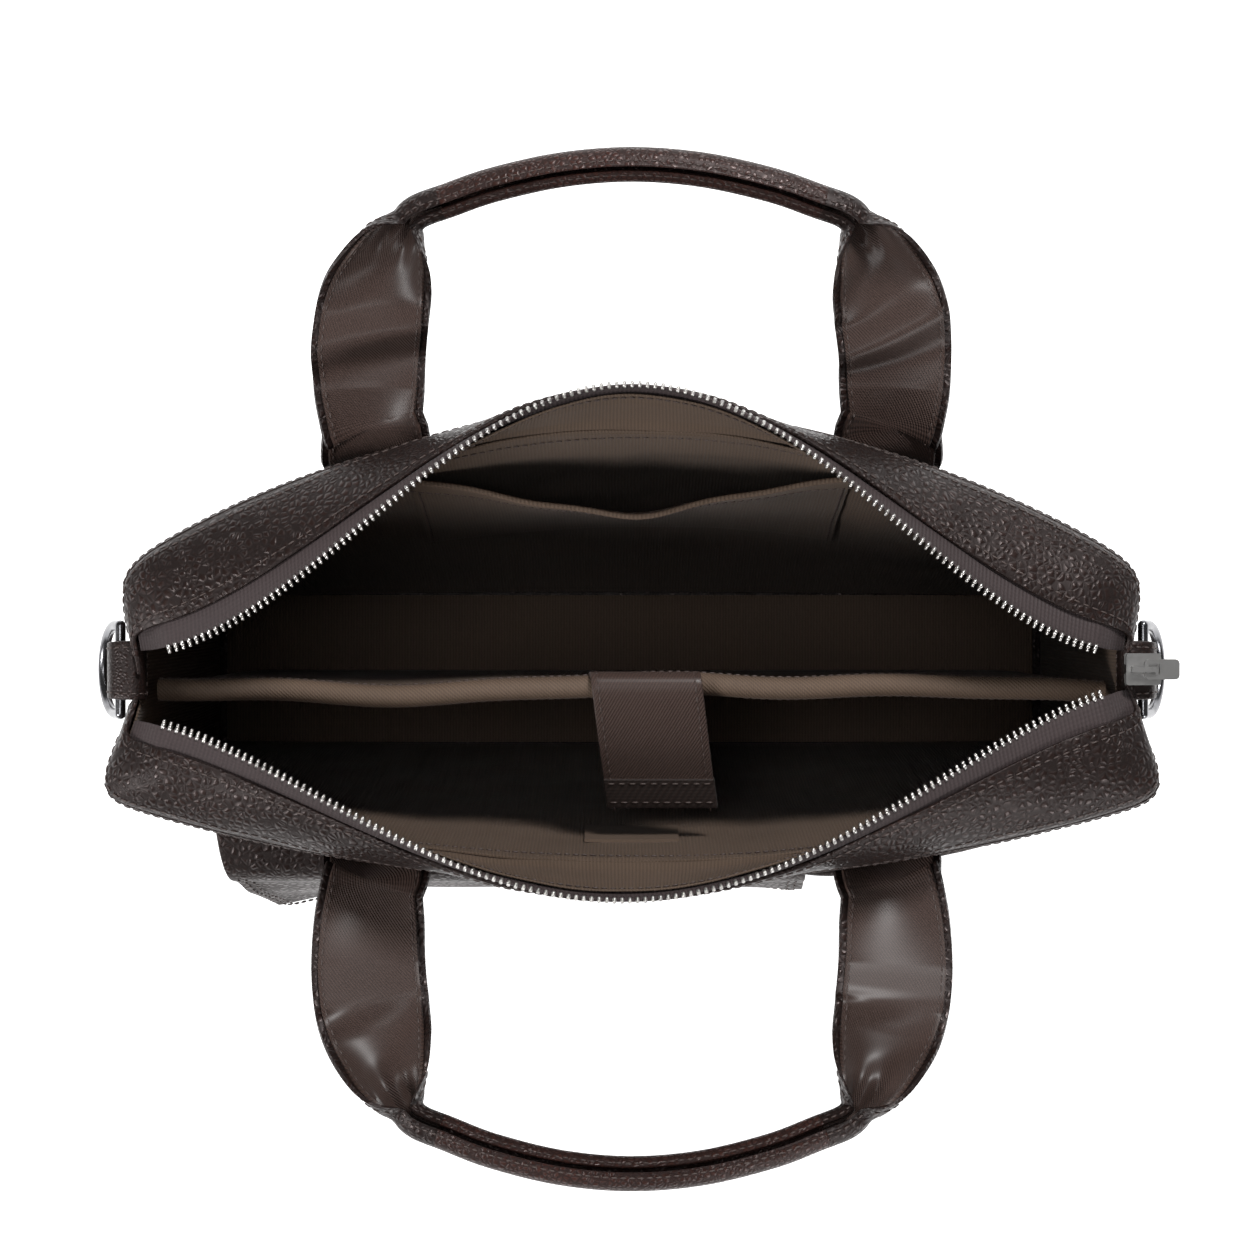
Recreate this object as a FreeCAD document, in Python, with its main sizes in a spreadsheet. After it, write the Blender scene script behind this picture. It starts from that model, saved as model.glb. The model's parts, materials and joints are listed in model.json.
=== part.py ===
import FreeCAD, Part
import math
import os

import Sketcher

V = FreeCAD.Vector

# Leather laptop briefcase standing upright with its zip mouth spread open.
# Origin: centre of the underside.  +X along the bag to the right, +Y towards the back, +Z up.
# Millimetres throughout.

SIZES = [
    # alias, value, meaning
    ("bottom_half_length", 178, "half length of the bag at the floor"),
    ("half_depth", 38, "half depth of the bag at the floor"),
    ("edge_height", 256, "height of the seam where the walls end and the zip strips start"),
    ("front_half_length", 185, "half length of the front wall at its top seam"),
    ("front_corner", 41, "distance of the front wall's top corners from the middle plane"),
    ("front_bulge", 29, "how much further out the middle of the front top seam is"),
    ("back_half_length", 177, "half length of the back wall at its top seam"),
    ("back_corner", 37, "distance of the back wall's top corners from the middle plane"),
    ("back_bulge", 56, "how much further out the middle of the back top seam is"),
    ("front_mouth_half", 174, "half length of the front row of teeth"),
    ("front_mouth_corner", 8, "distance of the front row's ends from the middle plane"),
    ("front_mouth_bulge", 67, "how much further out the middle of the front row is"),
    ("back_mouth_half", 172, "half length of the back row of teeth"),
    ("back_mouth_corner", 9, "distance of the back row's ends from the middle plane"),
    ("back_mouth_bulge", 92, "how much further out the middle of the back row is"),
    ("mouth_end_rise", 6, "height of the teeth above the seam at the ends"),
    ("mouth_mid_rise", 25, "extra height of the teeth above the seam at the middle"),
    ("seam_gap", 2.2, "height of the zip strips' lower edge above the wall's edge"),
    ("leather", 1.6, "leather thickness"),
    ("foam", 3.0, "wall padding thickness"),
    ("lining", 0.8, "lining thickness"),
    ("layer_gap", 0.3, "space between neighbouring layers"),
    ("tape", 1.0, "zip tape thickness"),
    ("bead", 2.4, "width and height of a row of zip teeth"),
    ("padding_drop", 2.5, "how far the walls' padding and lining stop below the seam"),
    ("padding_inset", 3.2, "distance of the walls' padding and lining from the wall's ends"),
    ("end_drop", 6, "how far the tops of the two ends are below the walls' seam"),
    ("board", 2.5, "thickness of the stiffening board in the bottom"),
    ("board_inset", 6.7, "distance of the board's edge from the wall's outer face"),
    ("divider_half_length", 168, "half length of the padded divider"),
    ("divider_height", 236, "height of the divider's top edge"),
    ("divider_front", -7.4, "Y of the divider's front face"),
    ("divider_foam", 5.0, "thickness of the divider's padding"),
    ("divider_binding", 2.4, "height of the binding on the divider's top edge"),
    ("inner_pocket_half", 80, "half length of the slip pocket on the back lining"),
    ("inner_pocket_low", 112, "height of the slip pocket's lower edge"),
    ("inner_pocket_high", 230, "height of the slip pocket's mouth, below its hem"),
    ("inner_pocket_gape", 17, "how far the slip pocket's mouth hangs open at its middle"),
    ("inner_pocket_hem", 4, "height of the slip pocket's hem"),
    ("hem_thickness", 2, "thickness of the slip pocket's hem"),
    ("strap_width", 40, "width of the handle straps and of the laptop strap"),
    ("strap_spacing", 180, "distance between the two straps of a handle"),
    ("strap_leather", 1.6, "leather thickness of a handle strap"),
    ("webbing", 1.3, "thickness of the webbing on a strap's inner face"),
    ("handle_tilt", 20, "angle of the handles above level, degrees"),
    ("handle_pivot_z", 240, "height of the line that the handles turn about"),
    ("back_pivot_y", 88, "distance of the back handle's turning line from the middle plane"),
    ("front_pivot_y", 71.5, "distance of the front handle's turning line from the middle plane"),
    ("back_reach", 177, "distance of the back grip's middle from the middle plane, seen from above"),
    ("front_reach", 169, "distance of the front grip's middle from the middle plane, seen from above"),
    ("grip_half_chord", 64, "half length of the rolled grip along X"),
    ("grip_rise", 19, "how much further out the grip's middle is than its ends"),
    ("grip_width", 12, "width of the rolled grip in the handle's plane"),
    ("grip_depth", 15, "depth of the rolled grip across the handle's plane"),
    ("grip_wall", 1.6, "leather thickness of the grip's cover"),
    ("back_anchor_low", 190, "height of the lower edge of the back strap patches"),
    ("front_anchor_low", 227, "height of the lower edge of the front strap patches"),
    ("anchor_high", 246, "height of the upper edge of the strap patches"),
    ("anchor_thickness", 1.8, "thickness of the strap patches"),
    ("ring_wire", 3.8, "wire diameter of the D rings"),
    ("ring_arc", 15.6, "centreline radius of the D rings' round side"),
    ("ring_leg", 6, "length of the D rings' straight sides"),
    ("ring_x", 180.5, "X of the D rings' straight bar"),
    ("ring_y", 3, "Y of the D rings' middle"),
    ("ring_z", 238, "height of the D rings' straight bar"),
    ("ring_tilt", 25, "outward lean of the hanging D rings, degrees"),
    ("end_fold", 7, "how far the two ends fold in at the middle of their tops"),
    ("tab_width", 20, "width of the leather loops that hold the D rings"),
    ("tab_height", 12, "height of the loops above the bar"),
    ("zip_end_half", 9, "half width of the leather zip ends at the rings"),
    ("zip_end_inner_half", 12, "half width of the leather zip ends at the mouth"),
    ("zip_end_out", 2, "how far the zip ends reach out past the rings' bars"),
    ("zip_end_in", 22, "how far the zip ends reach in from the rings' bars"),
    ("pocket_half", 165, "half length of the front pocket"),
    ("pocket_rim", 3, "height of the front pocket's binding"),
    ("pocket_stand", 3.1, "distance of the front pocket's mouth from the wall at its ends"),
    ("pocket_gape", 6, "how far the front pocket's mouth hangs open at its middle"),
    ("pocket_low", 22, "height of the front pocket's lower edge"),
    ("pocket_high", 205, "height of the front pocket's upper edge, below its binding"),
    ("flap_left", -140, "X of the pocket flap's left end"),
    ("flap_right", 62, "X of the pocket flap's right end"),
    ("flap_corner", 30, "size of the flap's cut-off corners"),
    ("flap_pivot_y", -68.4, "Y of the line that the flap turns about"),
    ("flap_pivot_z", 222, "height of the line that the flap turns about"),
    ("flap_out", 8.5, "how far the flap steps out over the pocket"),
    ("flap_knee_y", 5, "depth of the flap's rounded shoulder"),
    ("flap_knee_z", 8, "height of the flap's rounded shoulder"),
    ("flap_drop", 74, "height of the flap below its turning line"),
    ("snap_x", -40, "X of the magnetic snap"),
    ("snap_z", 166, "height of the magnetic snap"),
    ("snap_radius", 9, "radius of the magnetic snap"),
    ("snap_half", 2, "thickness of each half of the magnetic snap"),
    ("slider_x", 177, "X of the zip slider's middle"),
    ("slider_y", 3.5, "Y of the zip slider's middle"),
    ("slider_z", 258, "height of the zip slider's middle"),
    ("slider_length", 12, "length of the zip slider"),
    ("slider_width", 11, "width of the zip slider"),
    ("slider_plate", 1.3, "thickness of each plate of the zip slider"),
    ("slider_foot", 1.6, "length of each foot of the slider's bridge"),
    ("slider_bridge", 1.2, "thickness of the slider's bridge"),
    ("slider_bridge_gap", 2.6, "height of the bridge above the slider's upper plate"),
    ("pull_thickness", 1.4, "thickness of the zip pull"),
    ("pull_length", 12, "length of the zip pull"),
    ("pull_width", 7, "width of the zip pull"),
    ("patch_thickness", 1.2, "thickness of the hook and loop patches"),
    ("hook_patch_height", 7, "height of the hook patch"),
    ("loop_patch_low", 196, "height of the loop patch's lower edge"),
    ("loop_patch_high", 222, "height of the loop patch's upper edge"),
    ("patch_inset", 3, "distance of the hook and loop patches from the strap's sides"),
]

doc = FreeCAD.newDocument("briefcase")
sheet = doc.addObject("Spreadsheet::Sheet", "Sizes")
for row, (alias, value, meaning) in enumerate(SIZES, start=1):
    sheet.set(f"A{row}", alias)
    sheet.set(f"B{row}", str(value))
    sheet.set(f"C{row}", meaning)
    sheet.setAlias(f"B{row}", alias)
doc.recompute()

pieces = []


def size(alias):
    """The value of one cell of the size sheet."""
    return float(sheet.get(alias))


# ---------------------------------------------------------------- outlines of the shell

STATIONS = [i / 12 - 1 for i in range(25)]    # places along the bag, -1 left to +1 right
WALL_POWER = 0.8                              # fullness of the walls' top seams
MOUTH_POWER = {"front": 1.5, "back": 1.8}     # slimness of the open mouth
SIDE = {"front": -1, "back": 1}
FRONT_MOUTH_SKEW = 5.5                        # the front row's left end is further out by twice this


def swell(u, power):
    """1 at the middle of the bag, falling to 0 at its ends."""
    return math.cos(math.pi / 2 * min(abs(u), 1)) ** power


def seam_point(face, u):
    """A point of a wall's top seam at place u along the bag."""
    y = size(face + "_corner") + size(face + "_bulge") * swell(u, WALL_POWER)
    return V(u * size(face + "_half_length"), SIDE[face] * y, size("edge_height"))


def floor_point(face, u):
    """A point of a wall's lower edge at place u along the bag."""
    return V(u * size("bottom_half_length"), SIDE[face] * size("half_depth"), 0)


def wall_point(face, u, z, inwards=0.0):
    """A point of a wall at height z, moved in from its outer face."""
    share = z / size("edge_height")
    point = floor_point(face, u) * (1 - share) + seam_point(face, u) * share
    return point + V(0, -SIDE[face] * inwards, 0)


def teeth_point(face, u):
    """A point of a row of zip teeth, which is the edge of the open mouth."""
    y = size(face + "_mouth_corner") + size(face + "_mouth_bulge") * swell(u, MOUTH_POWER[face])
    if face == "front":
        y -= FRONT_MOUTH_SKEW * u
    rise = size("mouth_end_rise") + size("mouth_mid_rise") * swell(u, 1)
    return V(u * size(face + "_mouth_half"), SIDE[face] * y, size("edge_height") + rise)


def strip_point(face, u, across, depth):
    """A point of the strip from a wall's seam (across 0) to the teeth (across 1), at a depth."""
    start = seam_point(face, u) + V(0, -SIDE[face] * 0.2, size("seam_gap"))
    return start * (1 - across) + teeth_point(face, u) * across + strip_inwards(face) * depth


def strip_inwards(face):
    """The direction from a zip strip's outer face into the bag."""
    slant = math.sqrt(0.5)
    return V(0, -SIDE[face] * slant, -slant)


# ---------------------------------------------------------------- building helpers

def spline_edge(points):
    """A smooth edge through points that are evenly spaced in its parameter."""
    if len(points) == 2:
        return Part.LineSegment(points[0], points[1]).toShape()
    curve = Part.BSplineCurve()
    curve.interpolate(Points=points, Parameters=[i / (len(points) - 1) for i in range(len(points))])
    return curve.toShape()


def skin(lower, upper, thickness):
    """A solid skin between two edges, thickened along a vector."""
    face = Part.makeRuledSurface(spline_edge(lower), spline_edge(upper))
    solid = face.extrude(thickness)
    if solid.ShapeType != "Solid":
        solid = solid.Solids[0]
    if solid.Volume < 0:
        solid.reverse()
    return solid


def add_feature(name, shape, position=V(0, 0, 0)):
    """A plain feature that holds a shape made from the size sheet, moved to its position."""
    item = doc.addObject("Part::Feature", name)
    item.Label = name
    item.Shape = shape
    item.Placement = FreeCAD.Placement(position, FreeCAD.Rotation())
    pieces.append(item)


def add_box(name, exprs, position):
    """A Part::Box with its sides and its lowest corner bound to the sheet."""
    item = doc.addObject("Part::Box", name)
    item.Label = name
    for prop, expression in zip(("Length", "Width", "Height"), exprs):
        item.setExpression(prop, expression)
    for axis, expression in zip("xyz", position):
        item.setExpression("Placement.Base." + axis, expression)
    pieces.append(item)
    return item


def origin_plane(body, role):
    """One of a body's own origin planes."""
    return next(f for f in body.Origin.OriginFeatures if f.Role == role)


def new_body(name):
    """An empty PartDesign body that makes one piece."""
    body = doc.addObject("PartDesign::Body", name)
    body.Label = name
    pieces.append(body)
    return body


def sketch_on(body, role, name):
    """A sketch on one of the body's origin planes."""
    sketch = body.newObject("Sketcher::SketchObject", name)
    sketch.AttachmentSupport = [(origin_plane(body, role), "")]
    sketch.MapMode = "FlatFace"
    return sketch


def draw_outline(sketch, points):
    """A closed outline of straight sides whose corners are held together."""
    count = len(points)
    for i, point in enumerate(points):
        sketch.addGeometry(Part.LineSegment(V(*point, 0), V(*points[(i + 1) % count], 0)), False)
    for i in range(count):
        sketch.addConstraint(Sketcher.Constraint("Coincident", i, 2, (i + 1) % count, 1))


def bind_corner(sketch, line, x_expression, y_expression):
    """Holds the start of a line at a place given by two sheet expressions."""
    for kind, expression in (("DistanceX", x_expression), ("DistanceY", y_expression)):
        start = sketch.Geometry[line].StartPoint
        now = start.x if kind == "DistanceX" else start.y
        index = sketch.addConstraint(Sketcher.Constraint(kind, -1, 1, line, 1, now))
        name = f"{kind}_{line}"
        sketch.renameConstraint(index, name)
        sketch.setExpression("Constraints." + name, expression)


def bound_outline(sketch, corners):
    """A closed outline whose corners are sheet expressions, as pairs."""
    values = [tuple(sheet.evalExpression(part) for part in corner) for corner in corners]
    draw_outline(sketch, values)
    for line, (x_expression, y_expression) in enumerate(corners):
        bind_corner(sketch, line, x_expression, y_expression)


def pad(body, sketch, length_expression, name, midplane=False, backwards=False):
    """A pad whose length is bound to the sheet."""
    feature = body.newObject("PartDesign::Pad", name)
    feature.Profile = sketch
    feature.setExpression("Length", length_expression)
    if midplane:
        feature.SideType = "Symmetric"
    feature.Reversed = backwards
    return feature


# ---------------------------------------------------------------- shell

def wall_layer(name, face, inwards, thickness, low, high, inset):
    """One layer of the front or back wall, an inset short of the wall's ends."""
    reach = 1 - inset / size("bottom_half_length")
    lower = [wall_point(face, u * reach, low, inwards) for u in STATIONS]
    upper = [wall_point(face, u * reach, high, inwards) for u in STATIONS]
    add_feature(name, skin(lower, upper, V(0, -SIDE[face] * thickness, 0)))


def make_walls():
    """Leather, padding and lining of the front and back walls."""
    leather, foam, lining, gap = (size(a) for a in ("leather", "foam", "lining", "layer_gap"))
    top, inset = size("edge_height"), size("padding_inset")
    low, high = leather + gap, top - size("padding_drop")
    for face in SIDE:
        wall_layer(face + "_panel", face, 0, leather, 0, top, 0)
        wall_layer(face + "_foam", face, leather + 2 * gap, foam, low, high, inset)
        wall_layer(face + "_lining", face, leather + foam + 3 * gap, lining, low, high, inset)


# Layers of the strip beside the zip: piece, share of the bag's length, start and end across the
# strip (0 at the wall's seam, 1 at the teeth), depth below the outer face, and the size that sets
# its thickness.  A layer stands at a slant, so the vector it is thickened along is longer.
STRIP_LAYERS = (
    ("_top_gusset", 0.985, 0, 0.73, 0, "leather", 1.5),
    ("_zip_tape", 0.955, 0.60, 0.985, 2.8, "tape", 1.3),
    ("_top_lining", 0.985, 0, 0.80, 4.5, "lining", 1.5),
)
TEETH_REACH = 0.93                            # share of the mouth's length that the teeth take up


def make_zip_strips():
    """Leather strip, zip tape, row of teeth and lining strip on each side of the mouth."""
    for face in SIDE:
        for suffix, reach, start, end, depth, layer, slant in STRIP_LAYERS:
            thickness = size(layer) * slant
            lower = [strip_point(face, u * reach, start, depth) for u in STATIONS]
            upper = [strip_point(face, u * reach, end, depth) for u in STATIONS]
            add_feature(face + suffix, skin(lower, upper, strip_inwards(face) * thickness))
        bead = size("bead")
        half = bead / 2
        inner = [teeth_point(face, u * TEETH_REACH) + V(0, -SIDE[face] * half, -half)
                 for u in STATIONS]
        outer = [point + V(0, SIDE[face] * bead, 0) for point in inner]
        add_feature(face + "_zip_teeth", skin(inner, outer, V(0, 0, bead)))


def make_sides():
    """Leather and lining of the two ends, between the front and back walls."""
    leather, lining, gap = (size(a) for a in ("leather", "lining", "layer_gap"))
    inset = leather + gap
    top = size("edge_height") - size("end_drop")
    shares = [k / 8 for k in range(9)]
    for name, sign in (("left", -1), ("right", 1)):
        for suffix, inwards, thickness, low in (("_gusset", 0, leather, 0),
                                                ("_lining", inset, lining, inset)):
            step = V(-sign * inwards, 0, 0)
            lower = [wall_point(face, sign, low, inset) + step for face in ("front", "back")]
            start, end = (wall_point(face, sign, top, inset) + step for face in ("front", "back"))
            fold = V(-sign * size("end_fold"), 0, 0)
            upper = [start * (1 - k) + end * k + fold * math.sin(math.pi * k) ** 2 for k in shares]
            add_feature(name + suffix, skin(lower, upper, V(-sign * thickness, 0, 0)))


def make_bottom():
    """Bottom leather, stiffening board and bottom lining, one on the other."""
    inner = "(Sizes.half_depth - Sizes.leather - 2 * Sizes.layer_gap)"
    inner_x = "(Sizes.bottom_half_length - Sizes.leather - 2 * Sizes.layer_gap)"
    add_box("bottom_panel", (f"2 * {inner_x}", f"2 * {inner}", "Sizes.leather"),
            (f"-{inner_x}", f"-{inner}", "0"))

    body = new_body("base_board")
    sketch = sketch_on(body, "XY_Plane", "base_board_outline")
    half_x = "(Sizes.bottom_half_length - Sizes.board_inset)"
    half_y = "(Sizes.half_depth - Sizes.board_inset)"
    bound_outline(sketch, [(f"-{half_x}", f"-{half_y}"), (half_x, f"-{half_y}"),
                           (half_x, half_y), (f"-{half_x}", half_y)])
    pad(body, sketch, "Sizes.board", "base_board_pad")
    body.setExpression("Placement.Base.z", "Sizes.leather + Sizes.layer_gap")

    low = "Sizes.leather + Sizes.board + 2 * Sizes.layer_gap"
    add_box("bottom_lining", (f"2 * {half_x}", f"2 * {half_y}", "Sizes.lining"),
            (f"-{half_x}", f"-{half_y}", low))


def make_zip_ends():
    """Leather ends that join the two zip tapes over each side gusset."""
    for name, sign in (("left", -1), ("right", 1)):
        body = new_body(name + "_zip_end")
        sketch = sketch_on(body, "XY_Plane", name + "_zip_end_outline")
        outer = f"{sign} * (Sizes.ring_x + Sizes.zip_end_out)"
        inner = f"{sign} * (Sizes.ring_x - Sizes.zip_end_in)"
        bound_outline(sketch, [(outer, "Sizes.ring_y - Sizes.zip_end_half"),
                               (outer, "Sizes.ring_y + Sizes.zip_end_half"),
                               (inner, "Sizes.ring_y + Sizes.zip_end_inner_half"),
                               (inner, "Sizes.ring_y - Sizes.zip_end_inner_half")])
        pad(body, sketch, "Sizes.leather", name + "_zip_end_pad")
        body.setExpression("Placement.Base.z", "Sizes.edge_height - Sizes.end_drop + Sizes.layer_gap")


# ---------------------------------------------------------------- divider and inner pocket

def make_divider():
    """Padded divider: lining, padding, lining, and a binding over its top edge."""
    gap = "Sizes.layer_gap"
    low = "(Sizes.leather + Sizes.board + Sizes.lining + 3 * Sizes.layer_gap)"
    high = "Sizes.divider_height"
    length = "2 * Sizes.divider_half_length"
    layers = (
        ("divider_front_cover", "Sizes.lining", "Sizes.divider_front"),
        ("divider_foam", "Sizes.divider_foam", f"Sizes.divider_front + Sizes.lining + {gap}"),
        ("divider_back_cover", "Sizes.lining",
         f"Sizes.divider_front + Sizes.lining + Sizes.divider_foam + 2 * {gap}"),
    )
    for name, thickness, start in layers:
        add_box(name, (length, thickness, f"{high} - {low}"),
                ("-Sizes.divider_half_length", start, low))
    depth = f"2 * Sizes.lining + Sizes.divider_foam + 2 * {gap}"
    add_box("divider_binding", (length, depth, "Sizes.divider_binding"),
            ("-Sizes.divider_half_length", "Sizes.divider_front", f"{high} + {gap}"))


def wall_depth():
    """Depth of a wall's inner face, with a gap to the next layer, below its outer face."""
    return size("leather") + size("foam") + size("lining") + 4 * size("layer_gap")


def make_inner_pocket():
    """Slip pocket on the back lining, its mouth hanging open, with a bound hem."""
    half_u = size("inner_pocket_half") / size("back_half_length")
    low, high, gap = (size(a) for a in ("inner_pocket_low", "inner_pocket_high", "layer_gap"))
    inwards = wall_depth()
    lower, upper = [], []
    for u in STATIONS:
        gape = size("inner_pocket_gape") * math.cos(math.pi / 2 * u)
        lower.append(wall_point("back", u * half_u, low, inwards + 0.2))
        upper.append(wall_point("back", u * half_u, high, inwards + 1.5 + gape))
    add_feature("inner_pocket", skin(lower, upper, V(0, -size("lining"), 0)))
    rim = [point + V(0, 2 * gap, gap) for point in upper]
    rim_top = [point + V(0, 0, size("inner_pocket_hem")) for point in rim]
    add_feature("inner_pocket_binding", skin(rim, rim_top, V(0, -size("hem_thickness"), 0)))


# ---------------------------------------------------------------- front pocket and its flap

POCKET_POWER = 0.7                            # fullness of the front pocket's mouth
POCKET_FOOT = (0.9, -2.0)                     # gape and depth of the front pocket's lower edge


def front_pocket_edge(z, gape, inwards=0.0):
    """A curve across the front pocket's outer face."""
    half_u = size("pocket_half") / size("front_half_length")
    stand = size("pocket_stand")
    return [wall_point("front", u * half_u, z, inwards - stand - gape * swell(u, POCKET_POWER))
            for u in STATIONS]


def make_front_pocket():
    """Patch pocket on the front wall with a lining and a bound, gaping mouth."""
    leather, lining, gap = (size(a) for a in ("leather", "lining", "layer_gap"))
    gape = size("pocket_gape")
    low, high = size("pocket_low"), size("pocket_high")
    foot_gape, foot_depth = POCKET_FOOT
    skins = (("front_pocket_panel", 0, leather, 0), ("front_pocket_lining", leather + gap, lining, 1))
    for name, inwards, thickness, raised in skins:
        # the lining is drawn from the panel's own curves, so that they stay parallel
        lower = front_pocket_edge(low + raised, foot_gape + gape * raised / (high - low),
                                  inwards + foot_depth)
        upper = front_pocket_edge(high, gape, inwards)
        add_feature(name, skin(lower, upper, V(0, thickness, 0)))
    rim = front_pocket_edge(high + gap, gape)
    rim_top = [point + V(0, 0, size("pocket_rim")) for point in rim]
    add_feature("front_pocket_binding", skin(rim, rim_top, V(0, leather + lining + gap, 0)))


def flap_profile(outer_gap, thickness):
    """Outline in the YZ plane of one layer of the flap, as sheet expressions."""
    out = f"(Sizes.flap_out - {outer_gap})"
    y_out = f"Sizes.flap_pivot_y - {out}"
    y_in = f"Sizes.flap_pivot_y - {out} + {thickness}"
    z_top = f"Sizes.flap_pivot_z - 1 - {outer_gap}"
    z_low = "Sizes.flap_pivot_z - Sizes.flap_drop"
    knee = f"{z_top} - Sizes.flap_knee_z"
    knee_top = f"{z_top} - Sizes.flap_knee_z / 4"
    return [("Sizes.flap_pivot_y", z_top), (f"{y_out} + Sizes.flap_knee_y", knee_top),
            (y_out, knee), (y_out, z_low), (y_in, z_low),
            (y_in, f"{knee} - 2 * Sizes.layer_gap"),
            (f"{y_in} + Sizes.flap_knee_y - 4 * Sizes.layer_gap", f"{knee_top} - {thickness}"),
            ("Sizes.flap_pivot_y", f"{z_top} - {thickness}")]


def make_flap():
    """Flap over the front pocket: leather outside, lining inside, with two cut-off corners."""
    layers = (("pocket_flap", "0", "Sizes.leather"),
              ("flap_lining", "(Sizes.leather + Sizes.layer_gap)", "Sizes.lining"))
    for name, outer_gap, thickness in layers:
        body = new_body(name)
        profile = sketch_on(body, "YZ_Plane", name + "_profile")
        bound_outline(profile, flap_profile(outer_gap, thickness))
        pad(body, profile, "Sizes.flap_right - Sizes.flap_left", name + "_pad")
        doc.recompute()
        whole = body.Shape.Volume
        low = "Sizes.flap_pivot_z - Sizes.flap_drop - 1"
        right = "Sizes.flap_right - Sizes.flap_left"
        edges = {"left": ("-1", "Sizes.flap_corner"),
                 "right": (f"{right} + 1", f"{right} - Sizes.flap_corner")}
        for hand, (outside, inside) in edges.items():
            cut = sketch_on(body, "XZ_Plane", f"{name}_{hand}_outline")
            bound_outline(cut, [(outside, low), (inside, low),
                                (outside, f"{low} + Sizes.flap_corner + 1")])
            pocket = body.newObject("PartDesign::Pocket", f"{name}_{hand}_corner")
            pocket.Profile = cut
            pocket.Type = "ThroughAll"
            pocket.SideType = "Symmetric"
            doc.recompute()
        if body.Shape.Volume > whole - 100:
            raise RuntimeError(name + ": the corners were not cut")
        body.setExpression("Placement.Base.x", "Sizes.flap_left")


def make_snaps():
    """Magnetic snap: one half on the flap's lining, the other on the pocket."""
    behind_lining = ("Sizes.flap_pivot_y - Sizes.flap_out"
                     " + Sizes.leather + Sizes.lining + 2 * Sizes.layer_gap")
    pocket_y = front_pocket_y(size("snap_x"), size("snap_z") + size("snap_radius"))
    on_pocket = f"{pocket_y} - Sizes.snap_half - Sizes.layer_gap"
    for name, start in (("snap_magnet", behind_lining), ("snap_plate", on_pocket)):
        disc = doc.addObject("Part::Cylinder", name)
        disc.Label = name
        disc.setExpression("Radius", "Sizes.snap_radius")
        disc.setExpression("Height", "Sizes.snap_half")
        disc.Placement.Rotation = FreeCAD.Rotation(V(1, 0, 0), -90)
        for axis, expression in (("x", "Sizes.snap_x"), ("y", start), ("z", "Sizes.snap_z")):
            disc.setExpression("Placement.Base." + axis, expression)
        pieces.append(disc)


def front_pocket_y(x, z):
    """Y of the front pocket's outer face at a place."""
    bottom, top = size("pocket_low"), size("pocket_high")
    low = front_pocket_edge(bottom, *POCKET_FOOT)
    high = front_pocket_edge(top, size("pocket_gape"))
    share = (z - bottom) / (top - bottom)
    curve = [a * (1 - share) + b * share for a, b in zip(low, high)]
    return min(point.y for point in curve if abs(point.x - x) < 3 * size("snap_radius") + 3)


# ---------------------------------------------------------------- handles

def handle_point(face, x, reach, lift=0.0):
    """A point of a handle: reach is its distance out from the middle plane seen from above."""
    tilt = math.radians(size("handle_tilt"))
    out = reach - size(face + "_pivot_y")
    return V(x, SIDE[face] * (reach - lift * math.sin(tilt)),
             size("handle_pivot_z") + out * math.tan(tilt) + lift * math.cos(tilt))


def handle_up(face):
    """The direction out of a handle's plane, on the side that faces up."""
    tilt = math.radians(size("handle_tilt"))
    return V(0, -SIDE[face] * math.sin(tilt), math.cos(tilt))


# Outline of the right-hand strap as (x, distance from the turning line); the outer edge is
# the side away from the loop.  The strap narrows where it folds lengthwise into the grip.
STRAP_OUTER = [(109, 0), (111, 17), (110, 38), (104, 56), (94, 69), (82, 75.5), (70, 79)]
STRAP_INNER = [(70, 0), (71, 12), (69, 25), (65, 38), (63, 50), (65, 59), (66.5, 65)]
OUTLINE_REACH = 89                            # reach of the grip that the outline was drawn for
WEBBING_INSET = 1.5                           # distance of the webbing from the strap's sides


def make_straps(face):
    """Leather and webbing of a handle's two straps."""
    leather, webbing = size("strap_leather"), size("webbing")
    scale = (size(face + "_reach") - size(face + "_pivot_y")) / OUTLINE_REACH
    gap = size("layer_gap") / 2
    layers = (("strap", -leather - gap, leather, 0), ("webbing", gap, webbing, WEBBING_INSET))
    for name, sign in (("left", -1), ("right", 1)):
        for kind, lift, thickness, inset in layers:
            edges = []
            for outline, shrink in ((STRAP_OUTER, -inset), (STRAP_INNER, inset)):
                edges.append([handle_point(face, sign * (x + shrink),
                                           size(face + "_pivot_y") + out * scale, lift)
                              for x, out in outline])
            shape = skin(edges[0], edges[1], handle_up(face) * thickness)
            add_feature(f"{face}_{name}_{kind}", shape)


def make_grip(face):
    """Rolled grip: a leather cover around a core, swept round the handle's arc."""
    half, rise = size("grip_half_chord"), size("grip_rise")
    radius = (half ** 2 + rise ** 2) / (2 * rise)
    angle = math.degrees(math.asin(half / radius))
    wall, gap = size("grip_wall"), size("layer_gap")
    reach = size(face + "_reach")
    tilt = math.radians(size("handle_tilt"))
    middle = handle_point(face, 0, reach)
    outwards = V(0, SIDE[face] * math.cos(tilt), math.sin(tilt))
    centre = middle - outwards * radius
    width, depth = size("grip_width") / 2, size("grip_depth") / 2

    def swept(inset):
        """The grip's arc with an elliptical section, smaller all round by an inset."""
        ellipse = Part.Ellipse(middle + handle_up(face) * (depth - inset),
                               middle + outwards * (width - inset), middle)
        disc = Part.Face(Part.Wire(ellipse.toShape()))
        disc.rotate(centre, handle_up(face), -angle)
        return disc.revolve(centre, handle_up(face), 2 * angle)

    add_feature(face + "_grip_cover", swept(0).cut(swept(wall)))
    add_feature(face + "_grip_core", swept(wall + gap))


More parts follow.
